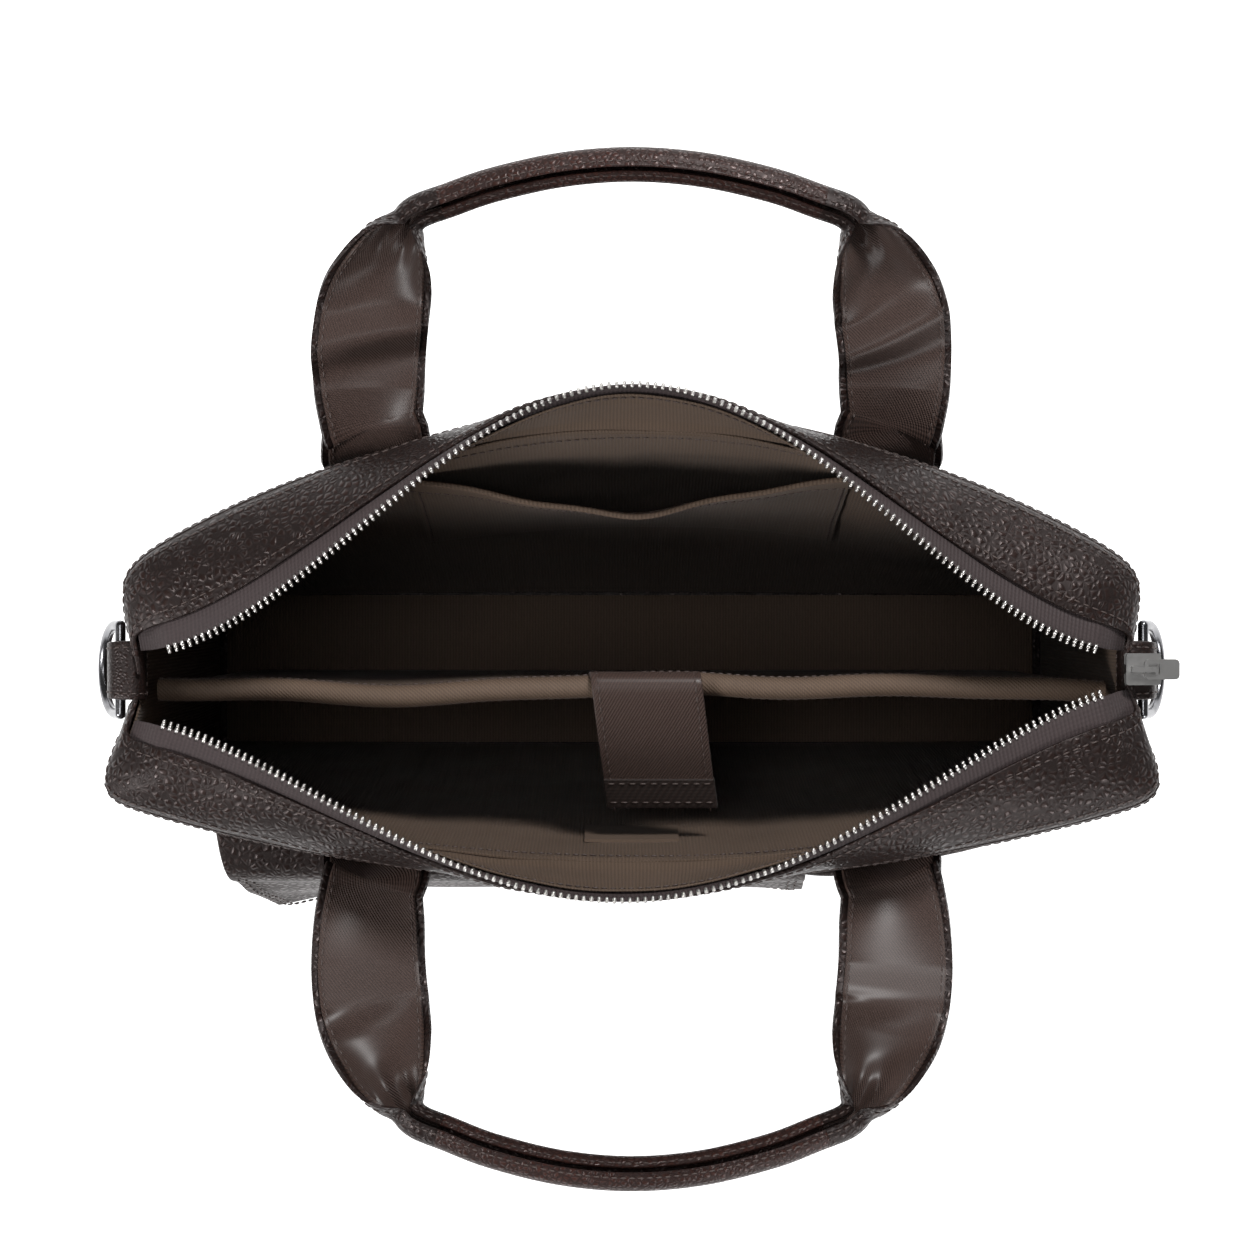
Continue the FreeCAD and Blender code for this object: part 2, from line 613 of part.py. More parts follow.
def make_anchors(face):
    """Two leather patches that sew the straps to the wall."""
    low, high, gap = (size(a) for a in (face + "_anchor_low", "anchor_high", "layer_gap"))
    half = size("strap_width") / 2
    patches = []
    for sign in (-1, 1):
        middle = sign * size("strap_spacing") / 2
        places = [(middle + half * k) / size(face + "_half_length") for k in (-1, -0.5, 0, 0.5, 1)]
        lower = [wall_point(face, u, low, -gap) for u in places]
        upper = [wall_point(face, u, high, -gap) for u in places]
        patches.append(skin(lower, upper, V(0, SIDE[face] * size("anchor_thickness"), 0)))
    add_feature(face + "_strap_anchors", Part.Compound(patches))


# ---------------------------------------------------------------- rings, slider, laptop strap

def make_ring(name, sign):
    """D ring hanging from its straight bar, and the leather loop that holds the bar."""
    wire = "Sizes.ring_wire / 2"
    parts = []

    def piece(kind, label, **exprs):
        item = doc.addObject(kind, f"{name}_dring_{label}")
        for prop, expression in exprs.items():
            item.setExpression(prop, expression)
        parts.append(item)
        return item

    bar = piece("Part::Cylinder", "bar", Radius=wire, Height="2 * Sizes.ring_arc")
    bar.Placement.Rotation = FreeCAD.Rotation(V(1, 0, 0), -90)
    bar.setExpression("Placement.Base.y", "-Sizes.ring_arc")
    for label, side in (("leg_front", -1), ("leg_back", 1)):
        leg = piece("Part::Cylinder", label, Radius=wire, Height="Sizes.ring_leg")
        leg.setExpression("Placement.Base.y", f"{side} * Sizes.ring_arc")
        leg.setExpression("Placement.Base.z", "-Sizes.ring_leg")
        corner = piece("Part::Sphere", label + "_corner", Radius=wire)
        corner.setExpression("Placement.Base.y", f"{side} * Sizes.ring_arc")
    bow = piece("Part::Torus", "bow", Radius1="Sizes.ring_arc", Radius2=wire)
    bow.Angle3 = 180
    # the torus lies in XY over +Y; turned so that its half circle hangs below the bar
    upright = FreeCAD.Rotation(V(0, 1, 0), 90)
    bow.Placement.Rotation = upright.multiply(FreeCAD.Rotation(V(0, 0, 1), -90))
    bow.setExpression("Placement.Base.z", "-Sizes.ring_leg")

    ring = doc.addObject("Part::MultiFuse", name + "_dring")
    ring.Label = name + "_dring"
    ring.Shapes = parts
    ring.Placement.Rotation = FreeCAD.Rotation(V(0, 1, 0), -sign * size("ring_tilt"))
    for axis, expression in (("x", f"{sign} * Sizes.ring_x"), ("y", "Sizes.ring_y"),
                             ("z", "Sizes.ring_z")):
        ring.setExpression("Placement.Base." + axis, expression)
    pieces.append(ring)


def make_ring_tab(name, sign):
    """Leather loop around a D ring's bar, with two legs up to the zip end."""
    gap, width = size("layer_gap"), size("tab_width")
    hole = size("ring_wire") / 2 + gap
    outer = hole + size("leather")
    height = size("tab_height") - gap
    half_leg = size("leather") + 0.2
    loop = Part.makeCylinder(outer, width, V(0, 0, 0), V(0, 1, 0))
    legs = Part.makeBox(2 * half_leg, width, height, V(-half_leg, 0, 0))
    eye = Part.makeCylinder(hole, width, V(0, 0, 0), V(0, 1, 0))
    shape = loop.fuse(legs).cut(eye).removeSplitter()
    place = V(sign * size("ring_x"), size("ring_y") - width / 2, size("ring_z"))
    add_feature(name + "_dring_tab", shape, place)


def round_corners(shape, radius, height):
    """A flat shape with its upright edges of one height rounded."""
    upright = [edge for edge in shape.Edges if abs(edge.BoundBox.ZLength - height) < 0.01]
    return shape.makeFillet(radius, upright)


def make_slider():
    """Zip slider: two plates joined by a post, with a bridge that holds the pull.

    Gives the place of the pull's eye.
    """
    length, width, plate = (size(a) for a in ("slider_length", "slider_width", "slider_plate"))
    foot, bridge, lift = (size(a) for a in ("slider_foot", "slider_bridge", "slider_bridge_gap"))
    space = size("bead") + 0.4
    base = V(size("slider_x") - length / 2, size("slider_y"), size("slider_z"))
    lower = Part.makeBox(length, width, plate, V(0, -width / 2, -space / 2 - plate))
    upper = Part.makeBox(length, width, plate, V(0, -width / 2, space / 2))
    post = Part.makeBox(4, 3, space, V(0, -1.5, -space / 2))
    body = lower.fuse(upper).fuse(post).removeSplitter()
    rounded = round_corners(body, 0.8, plate)
    top, margin = space / 2 + plate, 1.5
    feet = [Part.makeBox(foot, 2, lift, V(x, -1, top)) for x in (margin, length - margin - foot)]
    bar = Part.makeBox(length - 2 * margin, 2, bridge, V(margin, -1, top + lift))
    slider = rounded.fuse(feet + [bar]).removeSplitter()
    add_feature("zip_slider", slider, base)
    return base + V(length - margin - foot - 2.1, 0, top + lift / 2)


def make_pull(eye):
    """Zip pull: a flat tab with a hole that hangs on the slider's bridge."""
    length, width, thick = (size(a) for a in ("pull_length", "pull_width", "pull_thickness"))
    tab = Part.makeBox(length, width, thick, V(-thick / 2, -width / 2, -thick / 2))
    hole = Part.makeBox(3.8, 3.4, 3, V(thick / 2, -1.7, -1.5))
    add_feature("zip_pull", round_corners(tab, 1.5, thick).cut(hole), eye)


STRAP_THICKNESS = 1.6                         # thickness of the laptop strap's webbing


def strap_profile(lift):
    """Points of the laptop strap's curve in the YZ plane, from the divider to its free end."""
    top = size("divider_height") + size("divider_binding") + 3 * size("layer_gap")
    front = size("divider_front")
    return [V(0, front + 8 + lift * 0.2, top + lift),
            V(0, front - 8, top + 1.2 + lift),
            V(0, front - 24 - lift * 0.3, top - 1.5 + lift),
            V(0, front - 34 - lift, top - 9 + lift * 0.4),
            V(0, front - 37 - lift, top - 18)]


def make_laptop_strap():
    """Webbing strap from the divider over the laptop slot, with hook and loop patches."""
    half, inset, thick = size("strap_width") / 2, size("patch_inset"), size("patch_thickness")
    lower = spline_edge(strap_profile(0))
    upper = spline_edge(strap_profile(STRAP_THICKNESS))
    face = Part.makeRuledSurface(lower, upper)
    strap = face.extrude(V(size("strap_width"), 0, 0)).Solids[0]
    if strap.Volume < 0:
        strap.reverse()
    add_feature("laptop_strap", strap, V(-half, 0, 0))
    end = strap_profile(0)[-1]
    corner = V(inset - half, end.y + 2.3, end.z + 0.5)
    hooks = Part.makeBox(2 * (half - inset), thick, size("hook_patch_height"), corner)
    add_feature("strap_hook_patch", hooks)
    places = [(half - inset) * k / size("front_half_length") for k in (-1, -0.5, 0, 0.5, 1)]
    edges = [[wall_point("front", u, size(alias), wall_depth()) for u in places]
             for alias in ("loop_patch_low", "loop_patch_high")]
    add_feature("strap_loop_patch", skin(*edges, V(0, thick, 0)))


# ---------------------------------------------------------------- assembly

def make_all():
    """Builds every piece."""
    make_walls()
    make_zip_strips()
    make_sides()
    make_bottom()
    make_zip_ends()
    make_divider()
    make_inner_pocket()
    make_front_pocket()
    make_flap()
    make_snaps()
    for face in SIDE:
        make_anchors(face)
        make_straps(face)
        make_grip(face)
    for name, sign in (("left", -1), ("right", 1)):
        make_ring(name, sign)
        make_ring_tab(name, sign)
    make_pull(make_slider())
    make_laptop_strap()


def check_and_write():
    """Stops on any failed object or bad shape, then writes one file for each piece."""
    doc.recompute()
    for item in doc.Objects:
        if {"Invalid", "Error"} & set(item.State):
            raise RuntimeError(f"{item.Label} did not compute: {item.State}")
    for item in pieces:
        if item.Shape.isNull() or not item.Shape.isValid():
            raise RuntimeError(item.Label + " has no valid shape")
    os.makedirs("parts", exist_ok=True)
    for item in pieces:
        item.Shape.exportStep(f"parts/{item.Label}.step")
        box = item.Shape.BoundBox
        print(f"{item.Label:26s} {item.Shape.Volume:10.0f} mm3  solids {len(item.Shape.Solids)}  "
              f"x {box.XMin:7.1f} {box.XMax:7.1f}  y {box.YMin:7.1f} {box.YMax:7.1f}  "
              f"z {box.ZMin:7.1f} {box.ZMax:7.1f}")
    print(len(pieces), "pieces")


make_all()
check_and_write()
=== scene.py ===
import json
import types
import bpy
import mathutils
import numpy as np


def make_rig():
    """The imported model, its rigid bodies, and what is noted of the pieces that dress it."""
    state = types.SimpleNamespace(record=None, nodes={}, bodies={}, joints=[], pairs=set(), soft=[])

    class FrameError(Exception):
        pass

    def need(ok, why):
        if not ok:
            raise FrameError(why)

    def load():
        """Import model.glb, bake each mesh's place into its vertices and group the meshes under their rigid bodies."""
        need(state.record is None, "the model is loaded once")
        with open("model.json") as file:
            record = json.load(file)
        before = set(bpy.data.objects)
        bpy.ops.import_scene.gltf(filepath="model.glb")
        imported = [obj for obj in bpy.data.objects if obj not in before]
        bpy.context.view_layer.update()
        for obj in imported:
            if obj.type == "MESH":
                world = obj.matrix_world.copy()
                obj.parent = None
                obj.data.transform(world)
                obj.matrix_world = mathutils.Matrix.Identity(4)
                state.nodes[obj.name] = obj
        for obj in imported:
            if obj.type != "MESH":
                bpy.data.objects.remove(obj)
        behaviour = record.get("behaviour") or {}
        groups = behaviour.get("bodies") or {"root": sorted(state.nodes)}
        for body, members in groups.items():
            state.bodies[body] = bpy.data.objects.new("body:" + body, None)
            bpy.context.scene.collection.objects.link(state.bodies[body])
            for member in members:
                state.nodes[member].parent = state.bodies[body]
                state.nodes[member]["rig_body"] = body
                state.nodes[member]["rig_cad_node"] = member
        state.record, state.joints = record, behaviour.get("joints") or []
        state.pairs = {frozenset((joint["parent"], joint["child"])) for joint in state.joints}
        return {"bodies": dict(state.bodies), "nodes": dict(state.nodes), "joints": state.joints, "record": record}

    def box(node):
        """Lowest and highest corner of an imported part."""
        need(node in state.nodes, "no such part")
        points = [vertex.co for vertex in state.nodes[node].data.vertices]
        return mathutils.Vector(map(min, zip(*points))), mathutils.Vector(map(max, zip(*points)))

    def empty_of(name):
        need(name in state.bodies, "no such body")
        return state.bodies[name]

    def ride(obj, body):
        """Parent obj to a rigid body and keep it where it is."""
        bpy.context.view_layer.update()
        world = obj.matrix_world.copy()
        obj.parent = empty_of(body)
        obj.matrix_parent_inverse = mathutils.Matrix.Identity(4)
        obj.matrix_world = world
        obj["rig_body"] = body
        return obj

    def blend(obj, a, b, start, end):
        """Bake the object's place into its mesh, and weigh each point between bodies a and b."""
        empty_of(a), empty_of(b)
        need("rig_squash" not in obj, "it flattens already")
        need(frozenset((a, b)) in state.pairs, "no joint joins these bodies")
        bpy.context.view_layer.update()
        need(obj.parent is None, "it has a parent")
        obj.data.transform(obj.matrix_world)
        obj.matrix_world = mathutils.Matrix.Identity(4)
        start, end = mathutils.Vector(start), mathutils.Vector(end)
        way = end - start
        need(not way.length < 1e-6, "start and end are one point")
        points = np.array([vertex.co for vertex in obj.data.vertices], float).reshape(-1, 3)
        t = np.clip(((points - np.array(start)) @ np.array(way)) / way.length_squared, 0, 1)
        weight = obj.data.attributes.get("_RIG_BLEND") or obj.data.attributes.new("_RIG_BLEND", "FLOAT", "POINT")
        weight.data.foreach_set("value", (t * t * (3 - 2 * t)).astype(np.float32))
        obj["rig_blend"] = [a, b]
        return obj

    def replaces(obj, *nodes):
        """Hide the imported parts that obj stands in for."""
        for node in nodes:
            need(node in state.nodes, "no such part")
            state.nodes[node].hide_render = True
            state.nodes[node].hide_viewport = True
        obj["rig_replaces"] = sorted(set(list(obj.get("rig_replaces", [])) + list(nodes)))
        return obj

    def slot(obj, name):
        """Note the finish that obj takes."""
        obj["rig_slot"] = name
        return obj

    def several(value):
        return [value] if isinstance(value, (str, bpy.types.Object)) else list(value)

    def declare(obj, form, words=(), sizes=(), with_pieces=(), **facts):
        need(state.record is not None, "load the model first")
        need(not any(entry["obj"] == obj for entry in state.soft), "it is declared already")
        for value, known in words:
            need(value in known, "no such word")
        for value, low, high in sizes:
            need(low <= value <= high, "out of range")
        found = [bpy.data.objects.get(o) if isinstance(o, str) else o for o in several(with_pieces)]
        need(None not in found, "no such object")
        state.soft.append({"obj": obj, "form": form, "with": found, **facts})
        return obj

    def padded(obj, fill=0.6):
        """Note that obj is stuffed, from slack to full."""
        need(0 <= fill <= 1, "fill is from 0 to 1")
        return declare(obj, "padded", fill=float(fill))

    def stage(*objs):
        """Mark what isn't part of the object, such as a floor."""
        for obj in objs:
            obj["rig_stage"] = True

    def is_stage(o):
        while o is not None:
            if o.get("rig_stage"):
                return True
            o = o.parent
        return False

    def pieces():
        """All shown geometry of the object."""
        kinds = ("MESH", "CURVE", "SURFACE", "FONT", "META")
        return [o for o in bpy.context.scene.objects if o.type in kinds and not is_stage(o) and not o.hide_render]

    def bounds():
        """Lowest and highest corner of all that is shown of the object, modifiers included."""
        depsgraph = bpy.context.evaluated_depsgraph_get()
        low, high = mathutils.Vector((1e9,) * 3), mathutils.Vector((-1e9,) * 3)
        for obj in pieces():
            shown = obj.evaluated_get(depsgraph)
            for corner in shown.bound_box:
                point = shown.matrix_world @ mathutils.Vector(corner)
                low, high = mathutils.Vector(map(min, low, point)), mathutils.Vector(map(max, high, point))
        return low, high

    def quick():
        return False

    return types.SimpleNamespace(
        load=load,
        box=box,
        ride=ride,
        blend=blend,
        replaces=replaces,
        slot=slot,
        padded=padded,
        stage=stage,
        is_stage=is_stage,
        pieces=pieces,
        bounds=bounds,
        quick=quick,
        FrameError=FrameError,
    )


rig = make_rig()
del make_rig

bl_info = {
    "name": "Leather briefcase",
    "version": (1, 0, 0),
    "blender": (4, 5, 0),
    "location": "View3D > Sidebar > Briefcase",
    "description": "Builds the leather, cloth, zip and fittings of a briefcase around its packed frame",
    "category": "Object",
}

import json
import math
import sys

import bmesh
import bpy
import numpy as np
from mathutils import Vector, noise

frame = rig.load()
CAD_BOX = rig.bounds()

MM = 0.001
SIDE = {"front": -1, "back": 1}


def low(node):
    """Lowest corner of a CAD node's box, in metres."""
    return np.array(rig.box(node)[0], float)


def high(node):
    """Highest corner of a CAD node's box, in metres."""
    return np.array(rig.box(node)[1], float)


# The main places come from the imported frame.
SEAM_Z = high("front_panel")[2]
FLOOR_HALF = high("back_panel")[0]
FLOOR_DEPTH = 38 * MM
HALF_LENGTH = {"front": high("front_panel")[0], "back": FLOOR_HALF - 1 * MM}
SEAM_MID = {"front": -low("front_panel")[1], "back": high("back_panel")[1]}
SEAM_CORNER = {"front": 41 * MM, "back": 37 * MM}   # distances of the corners from the middle plane
MOUTH_HALF = {"front": 174 * MM, "back": 172 * MM}
MOUTH_MID = {"front": -low("front_zip_teeth")[1] - 1.2 * MM, "back": high("back_zip_teeth")[1] - 1.2 * MM}
MOUTH_CORNER = {"front": 8 * MM, "back": 9 * MM}
MOUTH_POWER = {"front": 1.5, "back": 1.8}   # how pointed the mouth's curve is
FRONT_SKEW = 5.5 * MM                       # how far the front row leans from one end to the middle
END_RISE, MID_RISE = 6 * MM, 25 * MM        # the teeth's height over the seam, and what the middle adds
DIVIDER_TOP = high("divider_foam")[2]


# ---------------------------------------------------------------- properties

class BRIEFCASE_PG_sizes(bpy.types.PropertyGroup):
    """Sizes that a user may change without touching the frame."""
    leather: bpy.props.FloatProperty(
        name="Leather", description="Thickness of the leather", default=1.6 * MM, unit="LENGTH")
    stitch_pitch: bpy.props.FloatProperty(
        name="Stitch pitch", description="Distance from one stitch to the next", default=3.6 * MM,
        unit="LENGTH")
    stitch_radius: bpy.props.FloatProperty(
        name="Thread radius", description="Radius of the sewing thread", default=0.32 * MM, unit="LENGTH")
    tooth_pitch: bpy.props.FloatProperty(
        name="Tooth pitch", description="Distance from one zip tooth to the next", default=2.6 * MM,
        unit="LENGTH")
    strap_width: bpy.props.FloatProperty(
        name="Strap width", description="Width of the handle straps", default=40 * MM, unit="LENGTH")
    slump: bpy.props.FloatProperty(
        name="Slump", description="How far the walls wander from a smooth shape", default=2.2 * MM,
        unit="LENGTH")


class BRIEFCASE_PG_colours(bpy.types.PropertyGroup):
    """Colours of the materials, as linear RGB."""
    leather: bpy.props.FloatVectorProperty(
        name="Leather", description="Colour of the grained leather", subtype="COLOR", size=3,
        default=(0.0135, 0.0076, 0.0064))
    lining: bpy.props.FloatVectorProperty(
        name="Lining", description="Colour of the cloth lining", subtype="COLOR", size=3,
        default=(0.088, 0.060, 0.042))
    webbing: bpy.props.FloatVectorProperty(
        name="Webbing", description="Colour of the straps' woven inner face", subtype="COLOR", size=3,
        default=(0.034, 0.018, 0.0135))
    tape: bpy.props.FloatVectorProperty(
        name="Zip tape", description="Colour of the zip's cloth tape", subtype="COLOR", size=3,
        default=(0.040, 0.029, 0.030))
    thread: bpy.props.FloatVectorProperty(
        name="Thread", description="Colour of the sewing thread", subtype="COLOR", size=3,
        default=(0.045, 0.030, 0.026))


def sizes():
    """The scene's size settings."""
    return bpy.context.scene.briefcase_sizes


def colours():
    """The scene's colour settings."""
    return bpy.context.scene.briefcase_colours


# ---------------------------------------------------------------- shader groups and materials

def group_tree(name, inputs, outputs):
    """An empty shader node group with float inputs and the named outputs."""
    tree = bpy.data.node_groups.new(name, "ShaderNodeTree")
    for label, kind, value in inputs:
        socket = tree.interface.new_socket(label, in_out="INPUT", socket_type=kind)
        socket.default_value = value
    for label, kind in outputs:
        tree.interface.new_socket(label, in_out="OUTPUT", socket_type=kind)
    return tree, tree.nodes.new("NodeGroupInput"), tree.nodes.new("NodeGroupOutput")


def add_node(tree, kind, settings=None, **sockets):
    """A node with settings and socket values; a socket value may be another node's output."""
    node = tree.nodes.new(kind)
    for key, value in (settings or {}).items():
        setattr(node, key, value)
    for key, value in sockets.items():
        socket = node.inputs[int(key[1:])] if key[0] == "i" and key[1:].isdigit() else node.inputs[key]
        if isinstance(value, bpy.types.NodeSocket):
            tree.links.new(value, socket)
        else:
            socket.default_value = value
    return node


def wire(tree, node, sources):
    """Links outputs to a node's named inputs."""
    for name, source in sources.items():
        tree.links.new(source, node.inputs[name])


def settle(node, values):
    """Sets a node's named inputs."""
    for name, value in values.items():
        node.inputs[name].default_value = value


def maths(tree, operation, a, b=0.0, clamp=False):
    """The output of one math node."""
    settings = {"operation": operation, "use_clamp": clamp}
    return add_node(tree, "ShaderNodeMath", settings, i0=a, i1=b).outputs[0]


def noise_value(tree, vector, scale, detail=3.0, rough=0.55):
    """A noise texture's value."""
    return add_node(tree, "ShaderNodeTexNoise", None, Vector=vector, Scale=scale, Detail=detail,
                    Roughness=rough).outputs["Fac"]


def ramp(tree, value, low_end, high_end):
    """A smooth step of a value between two ends."""
    node = add_node(tree, "ShaderNodeMapRange", {"interpolation_type": "SMOOTHSTEP", "clamp": True},
                    i0=value, i1=low_end, i2=high_end)
    return node.outputs[0]


def mix_colour(tree, factor, a, b, blend="MIX"):
    """A mix of two colours."""
    node = tree.nodes.new("ShaderNodeMix")
    node.data_type = "RGBA"
    node.blend_type = blend
    for index, value in ((0, factor), (6, a), (7, b)):
        if isinstance(value, bpy.types.NodeSocket):
            tree.links.new(value, node.inputs[index])
        elif index == 0:
            node.inputs[0].default_value = value
        else:
            node.inputs[index].default_value = (*value, 1.0)
    return node.outputs[2]


def build_grain_group():
    """Pebbled leather: a cell pattern of uneven size, with pores and broad creases; its colour holds painted shade in
    the valleys between pebbles and a painted highlight on pebble tops.
    """
    tree, start, end = group_tree(
        "Leather grain",
        [("Cells", "NodeSocketFloat", 430.0), ("Colour", "NodeSocketColor", (0.03, 0.02, 0.017, 1.0))],
        [("Colour", "NodeSocketColor"), ("Roughness", "NodeSocketFloat"), ("Height", "NodeSocketFloat")])
    place = tree.nodes.new("ShaderNodeTexCoord").outputs["Object"]
    wander = add_node(tree, "ShaderNodeTexNoise", None, Vector=place, Scale=95.0, Detail=2.0)
    shift = add_node(tree, "ShaderNodeVectorMath", {"operation": "SCALE"}, i0=wander.outputs["Color"],
                     Scale=0.0028)
    bent = add_node(tree, "ShaderNodeVectorMath", {"operation": "ADD"}, i0=place,
                    i1=shift.outputs[0]).outputs[0]
    cells = add_node(tree, "ShaderNodeTexVoronoi", {"feature": "SMOOTH_F1"}, Vector=bent,
                     Scale=start.outputs["Cells"], Smoothness=0.5, Randomness=0.9).outputs["Distance"]
    edges = add_node(tree, "ShaderNodeTexVoronoi", {"feature": "DISTANCE_TO_EDGE"}, Vector=bent,
                     Scale=start.outputs["Cells"], Randomness=0.95).outputs["Distance"]
    valley = ramp(tree, edges, 0.0, 0.32)
    dome = maths(tree, "SUBTRACT", 1.0, cells, clamp=True)
    pores = noise_value(tree, place, 1500.0, 2.0, 0.7)
    creases = noise_value(tree, bent, 28.0, 4.0, 0.6)
    pebble = maths(tree, "MULTIPLY", maths(tree, "POWER", dome, 0.8), valley)
    height = maths(tree, "ADD", pebble, maths(tree, "ADD", maths(tree, "MULTIPLY", pores, 0.03),
                                              maths(tree, "MULTIPLY", creases, 0.5)))
    # Painted shade: the colour is darkened to 0.42 in the valleys between the pebbles.
    deep = mix_colour(tree, 1.0, start.outputs["Colour"], (0.42, 0.40, 0.40), "MULTIPLY")
    # Painted highlight: the leather colour brightened 1.8 times, laid on pebble tops in broad random patches below.
    worn = mix_colour(tree, 1.0, start.outputs["Colour"], (1.8, 1.55, 1.5), "MULTIPLY")
    base = mix_colour(tree, valley, deep, start.outputs["Colour"])
    tops = maths(tree, "MULTIPLY", ramp(tree, creases, 0.42, 0.68), valley)
    colour = mix_colour(tree, maths(tree, "MULTIPLY", tops, 0.6), base, worn)
    rough = maths(tree, "SUBTRACT", 0.50, maths(tree, "MULTIPLY", valley, 0.24))
    rough = maths(tree, "ADD", rough, maths(tree, "MULTIPLY", creases, 0.10))
    wire(tree, end, {"Colour": colour, "Roughness": rough, "Height": height})
    return tree


def build_weave_group():
    """Twill or plain weave on a piece's own UV map, whose units are metres."""
    tree, start, end = group_tree(
        "Cloth weave",
        [("Threads", "NodeSocketFloat", 1600.0), ("Slant", "NodeSocketFloat", 1.0),
         ("Colour", "NodeSocketColor", (0.08, 0.06, 0.04, 1.0)), ("Contrast", "NodeSocketFloat", 0.5)],
        [("Colour", "NodeSocketColor"), ("Roughness", "NodeSocketFloat"), ("Height", "NodeSocketFloat")])
    uv = add_node(tree, "ShaderNodeUVMap", {"uv_map": "cloth"}).outputs["UV"]
    split = add_node(tree, "ShaderNodeSeparateXYZ", None, i0=uv)
    place = tree.nodes.new("ShaderNodeTexCoord").outputs["Object"]
    fray = maths(tree, "MULTIPLY", noise_value(tree, place, 900.0, 2.0), 0.0004)
    across = maths(tree, "ADD", split.outputs["X"], fray)
    along = split.outputs["Y"]
    diagonal = maths(tree, "ADD", across, maths(tree, "MULTIPLY", along, start.outputs["Slant"]))
    ribs = maths(tree, "SINE", maths(tree, "MULTIPLY", diagonal, start.outputs["Threads"]))
    crossing = maths(tree, "MULTIPLY", start.outputs["Threads"], 1.9)
    picks = maths(tree, "SINE", maths(tree, "MULTIPLY", along, crossing))
    weave = maths(tree, "ADD", maths(tree, "MULTIPLY", ribs, 0.36), maths(tree, "MULTIPLY", picks, 0.14))
    height = maths(tree, "ADD", weave, 0.5)
    patches = noise_value(tree, place, 36.0, 3.0)
    fibres = noise_value(tree, place, 2200.0, 2.0)
    dark = mix_colour(tree, 1.0, start.outputs["Colour"], (0.45, 0.43, 0.42), "MULTIPLY")
    light = mix_colour(tree, 1.0, start.outputs["Colour"], (1.5, 1.45, 1.42), "MULTIPLY")
    shade = maths(tree, "ADD", maths(tree, "MULTIPLY", height, start.outputs["Contrast"]),
                  maths(tree, "MULTIPLY", maths(tree, "ADD", patches, fibres), 0.28), clamp=True)
    colour = mix_colour(tree, shade, dark, light)
    rough = maths(tree, "ADD", 0.62, maths(tree, "MULTIPLY", patches, 0.22))
    wire(tree, end, {"Colour": colour, "Roughness": rough, "Height": height})
    return tree


def shader_group(name):
    """A shader group, built the first time it is asked for."""
    builders = {"Leather grain": build_grain_group, "Cloth weave": build_weave_group}
    return bpy.data.node_groups.get(name) or builders[name]()


def new_material(name):
    """A material with its own Principled shader; gives the material, its tree and the shader."""
    material = bpy.data.materials.new(name)
    material.use_nodes = True
    tree = material.node_tree
    return material, tree, tree.nodes["Principled BSDF"]


def finish_with(tree, shader, group, strength, distance, **values):
    """Feeds a material's shader from a group's colour, roughness and height."""
    node = tree.nodes.new("ShaderNodeGroup")
    node.node_tree = shader_group(group)
    for key, value in values.items():
        node.inputs[key].default_value = (*value, 1.0) if key == "Colour" else value
    bump = add_node(tree, "ShaderNodeBump", None, Strength=strength, Distance=distance,
                    Height=node.outputs["Height"])
    wire(tree, shader, {"Base Color": node.outputs["Colour"], "Roughness": node.outputs["Roughness"],
                        "Normal": bump.outputs["Normal"]})


GRAIN_HEIGHT = 0.33 * MM
WEAVE_HEIGHT = 0.4 * MM
THREAD_HEIGHT = SCRATCH_HEIGHT = 0.2 * MM


def leather_material(name="grained_leather", cells=400.0, tint=(1, 1, 1), strength=1.0):
    """Pebbled leather with a low gloss; cells is the grain's fineness and tint multiplies its colour."""
    if name in bpy.data.materials:
        return bpy.data.materials[name]
    material, tree, shader = new_material(name)
    colour = [c * t for c, t in zip(colours().leather, tint)]
    finish_with(tree, shader, "Leather grain", strength, GRAIN_HEIGHT, Cells=cells, Colour=colour)
    settle(shader, {"Specular IOR Level": 0.32, "Specular Tint": (1.0, 0.86, 0.84, 1.0), "Coat Weight": 0.03,
                    "Coat Roughness": 0.3})
    return material


def plain_leather():
    """The finer, darker leather of rims, patches and ring loops."""
    return leather_material("plain_leather", 700.0, (0.8, 0.8, 0.8), 0.4)


def cloth_material(name, colour, threads=1600.0, slant=1.0, contrast=0.5, strength=0.5, silk=0.0):
    """Woven cloth with a little sheen; silk is the weight of its gloss."""
    if name in bpy.data.materials:
        return bpy.data.materials[name]
    material, tree, shader = new_material(name)
    finish_with(tree, shader, "Cloth weave", strength, WEAVE_HEIGHT, Threads=threads, Slant=slant,
                Colour=colour, Contrast=contrast)
    settle(shader, {"Sheen Weight": 0.06, "Sheen Roughness": 0.4, "Coat Weight": silk, "Coat Roughness": 0.36,
                    "Specular IOR Level": 0.35})
    return material


def lining_cloth():
    """The plain cloth of the lining."""
    return cloth_material("lining_cloth", colours().lining, threads=5200.0, slant=0.0, contrast=0.35)


def binding_cloth():
    """The twill band over the edges of the divider and the inner pocket."""
    return cloth_material("binding_cloth", [c * 1.05 for c in colours().lining], threads=4200.0)


def webbing_material():
    """The silky twill webbing of the handles' inner faces and the laptop strap."""
    return cloth_material("strap_webbing", colours().webbing, threads=5600.0, slant=0.7, contrast=0.8,
                          strength=1.0, silk=0.35)


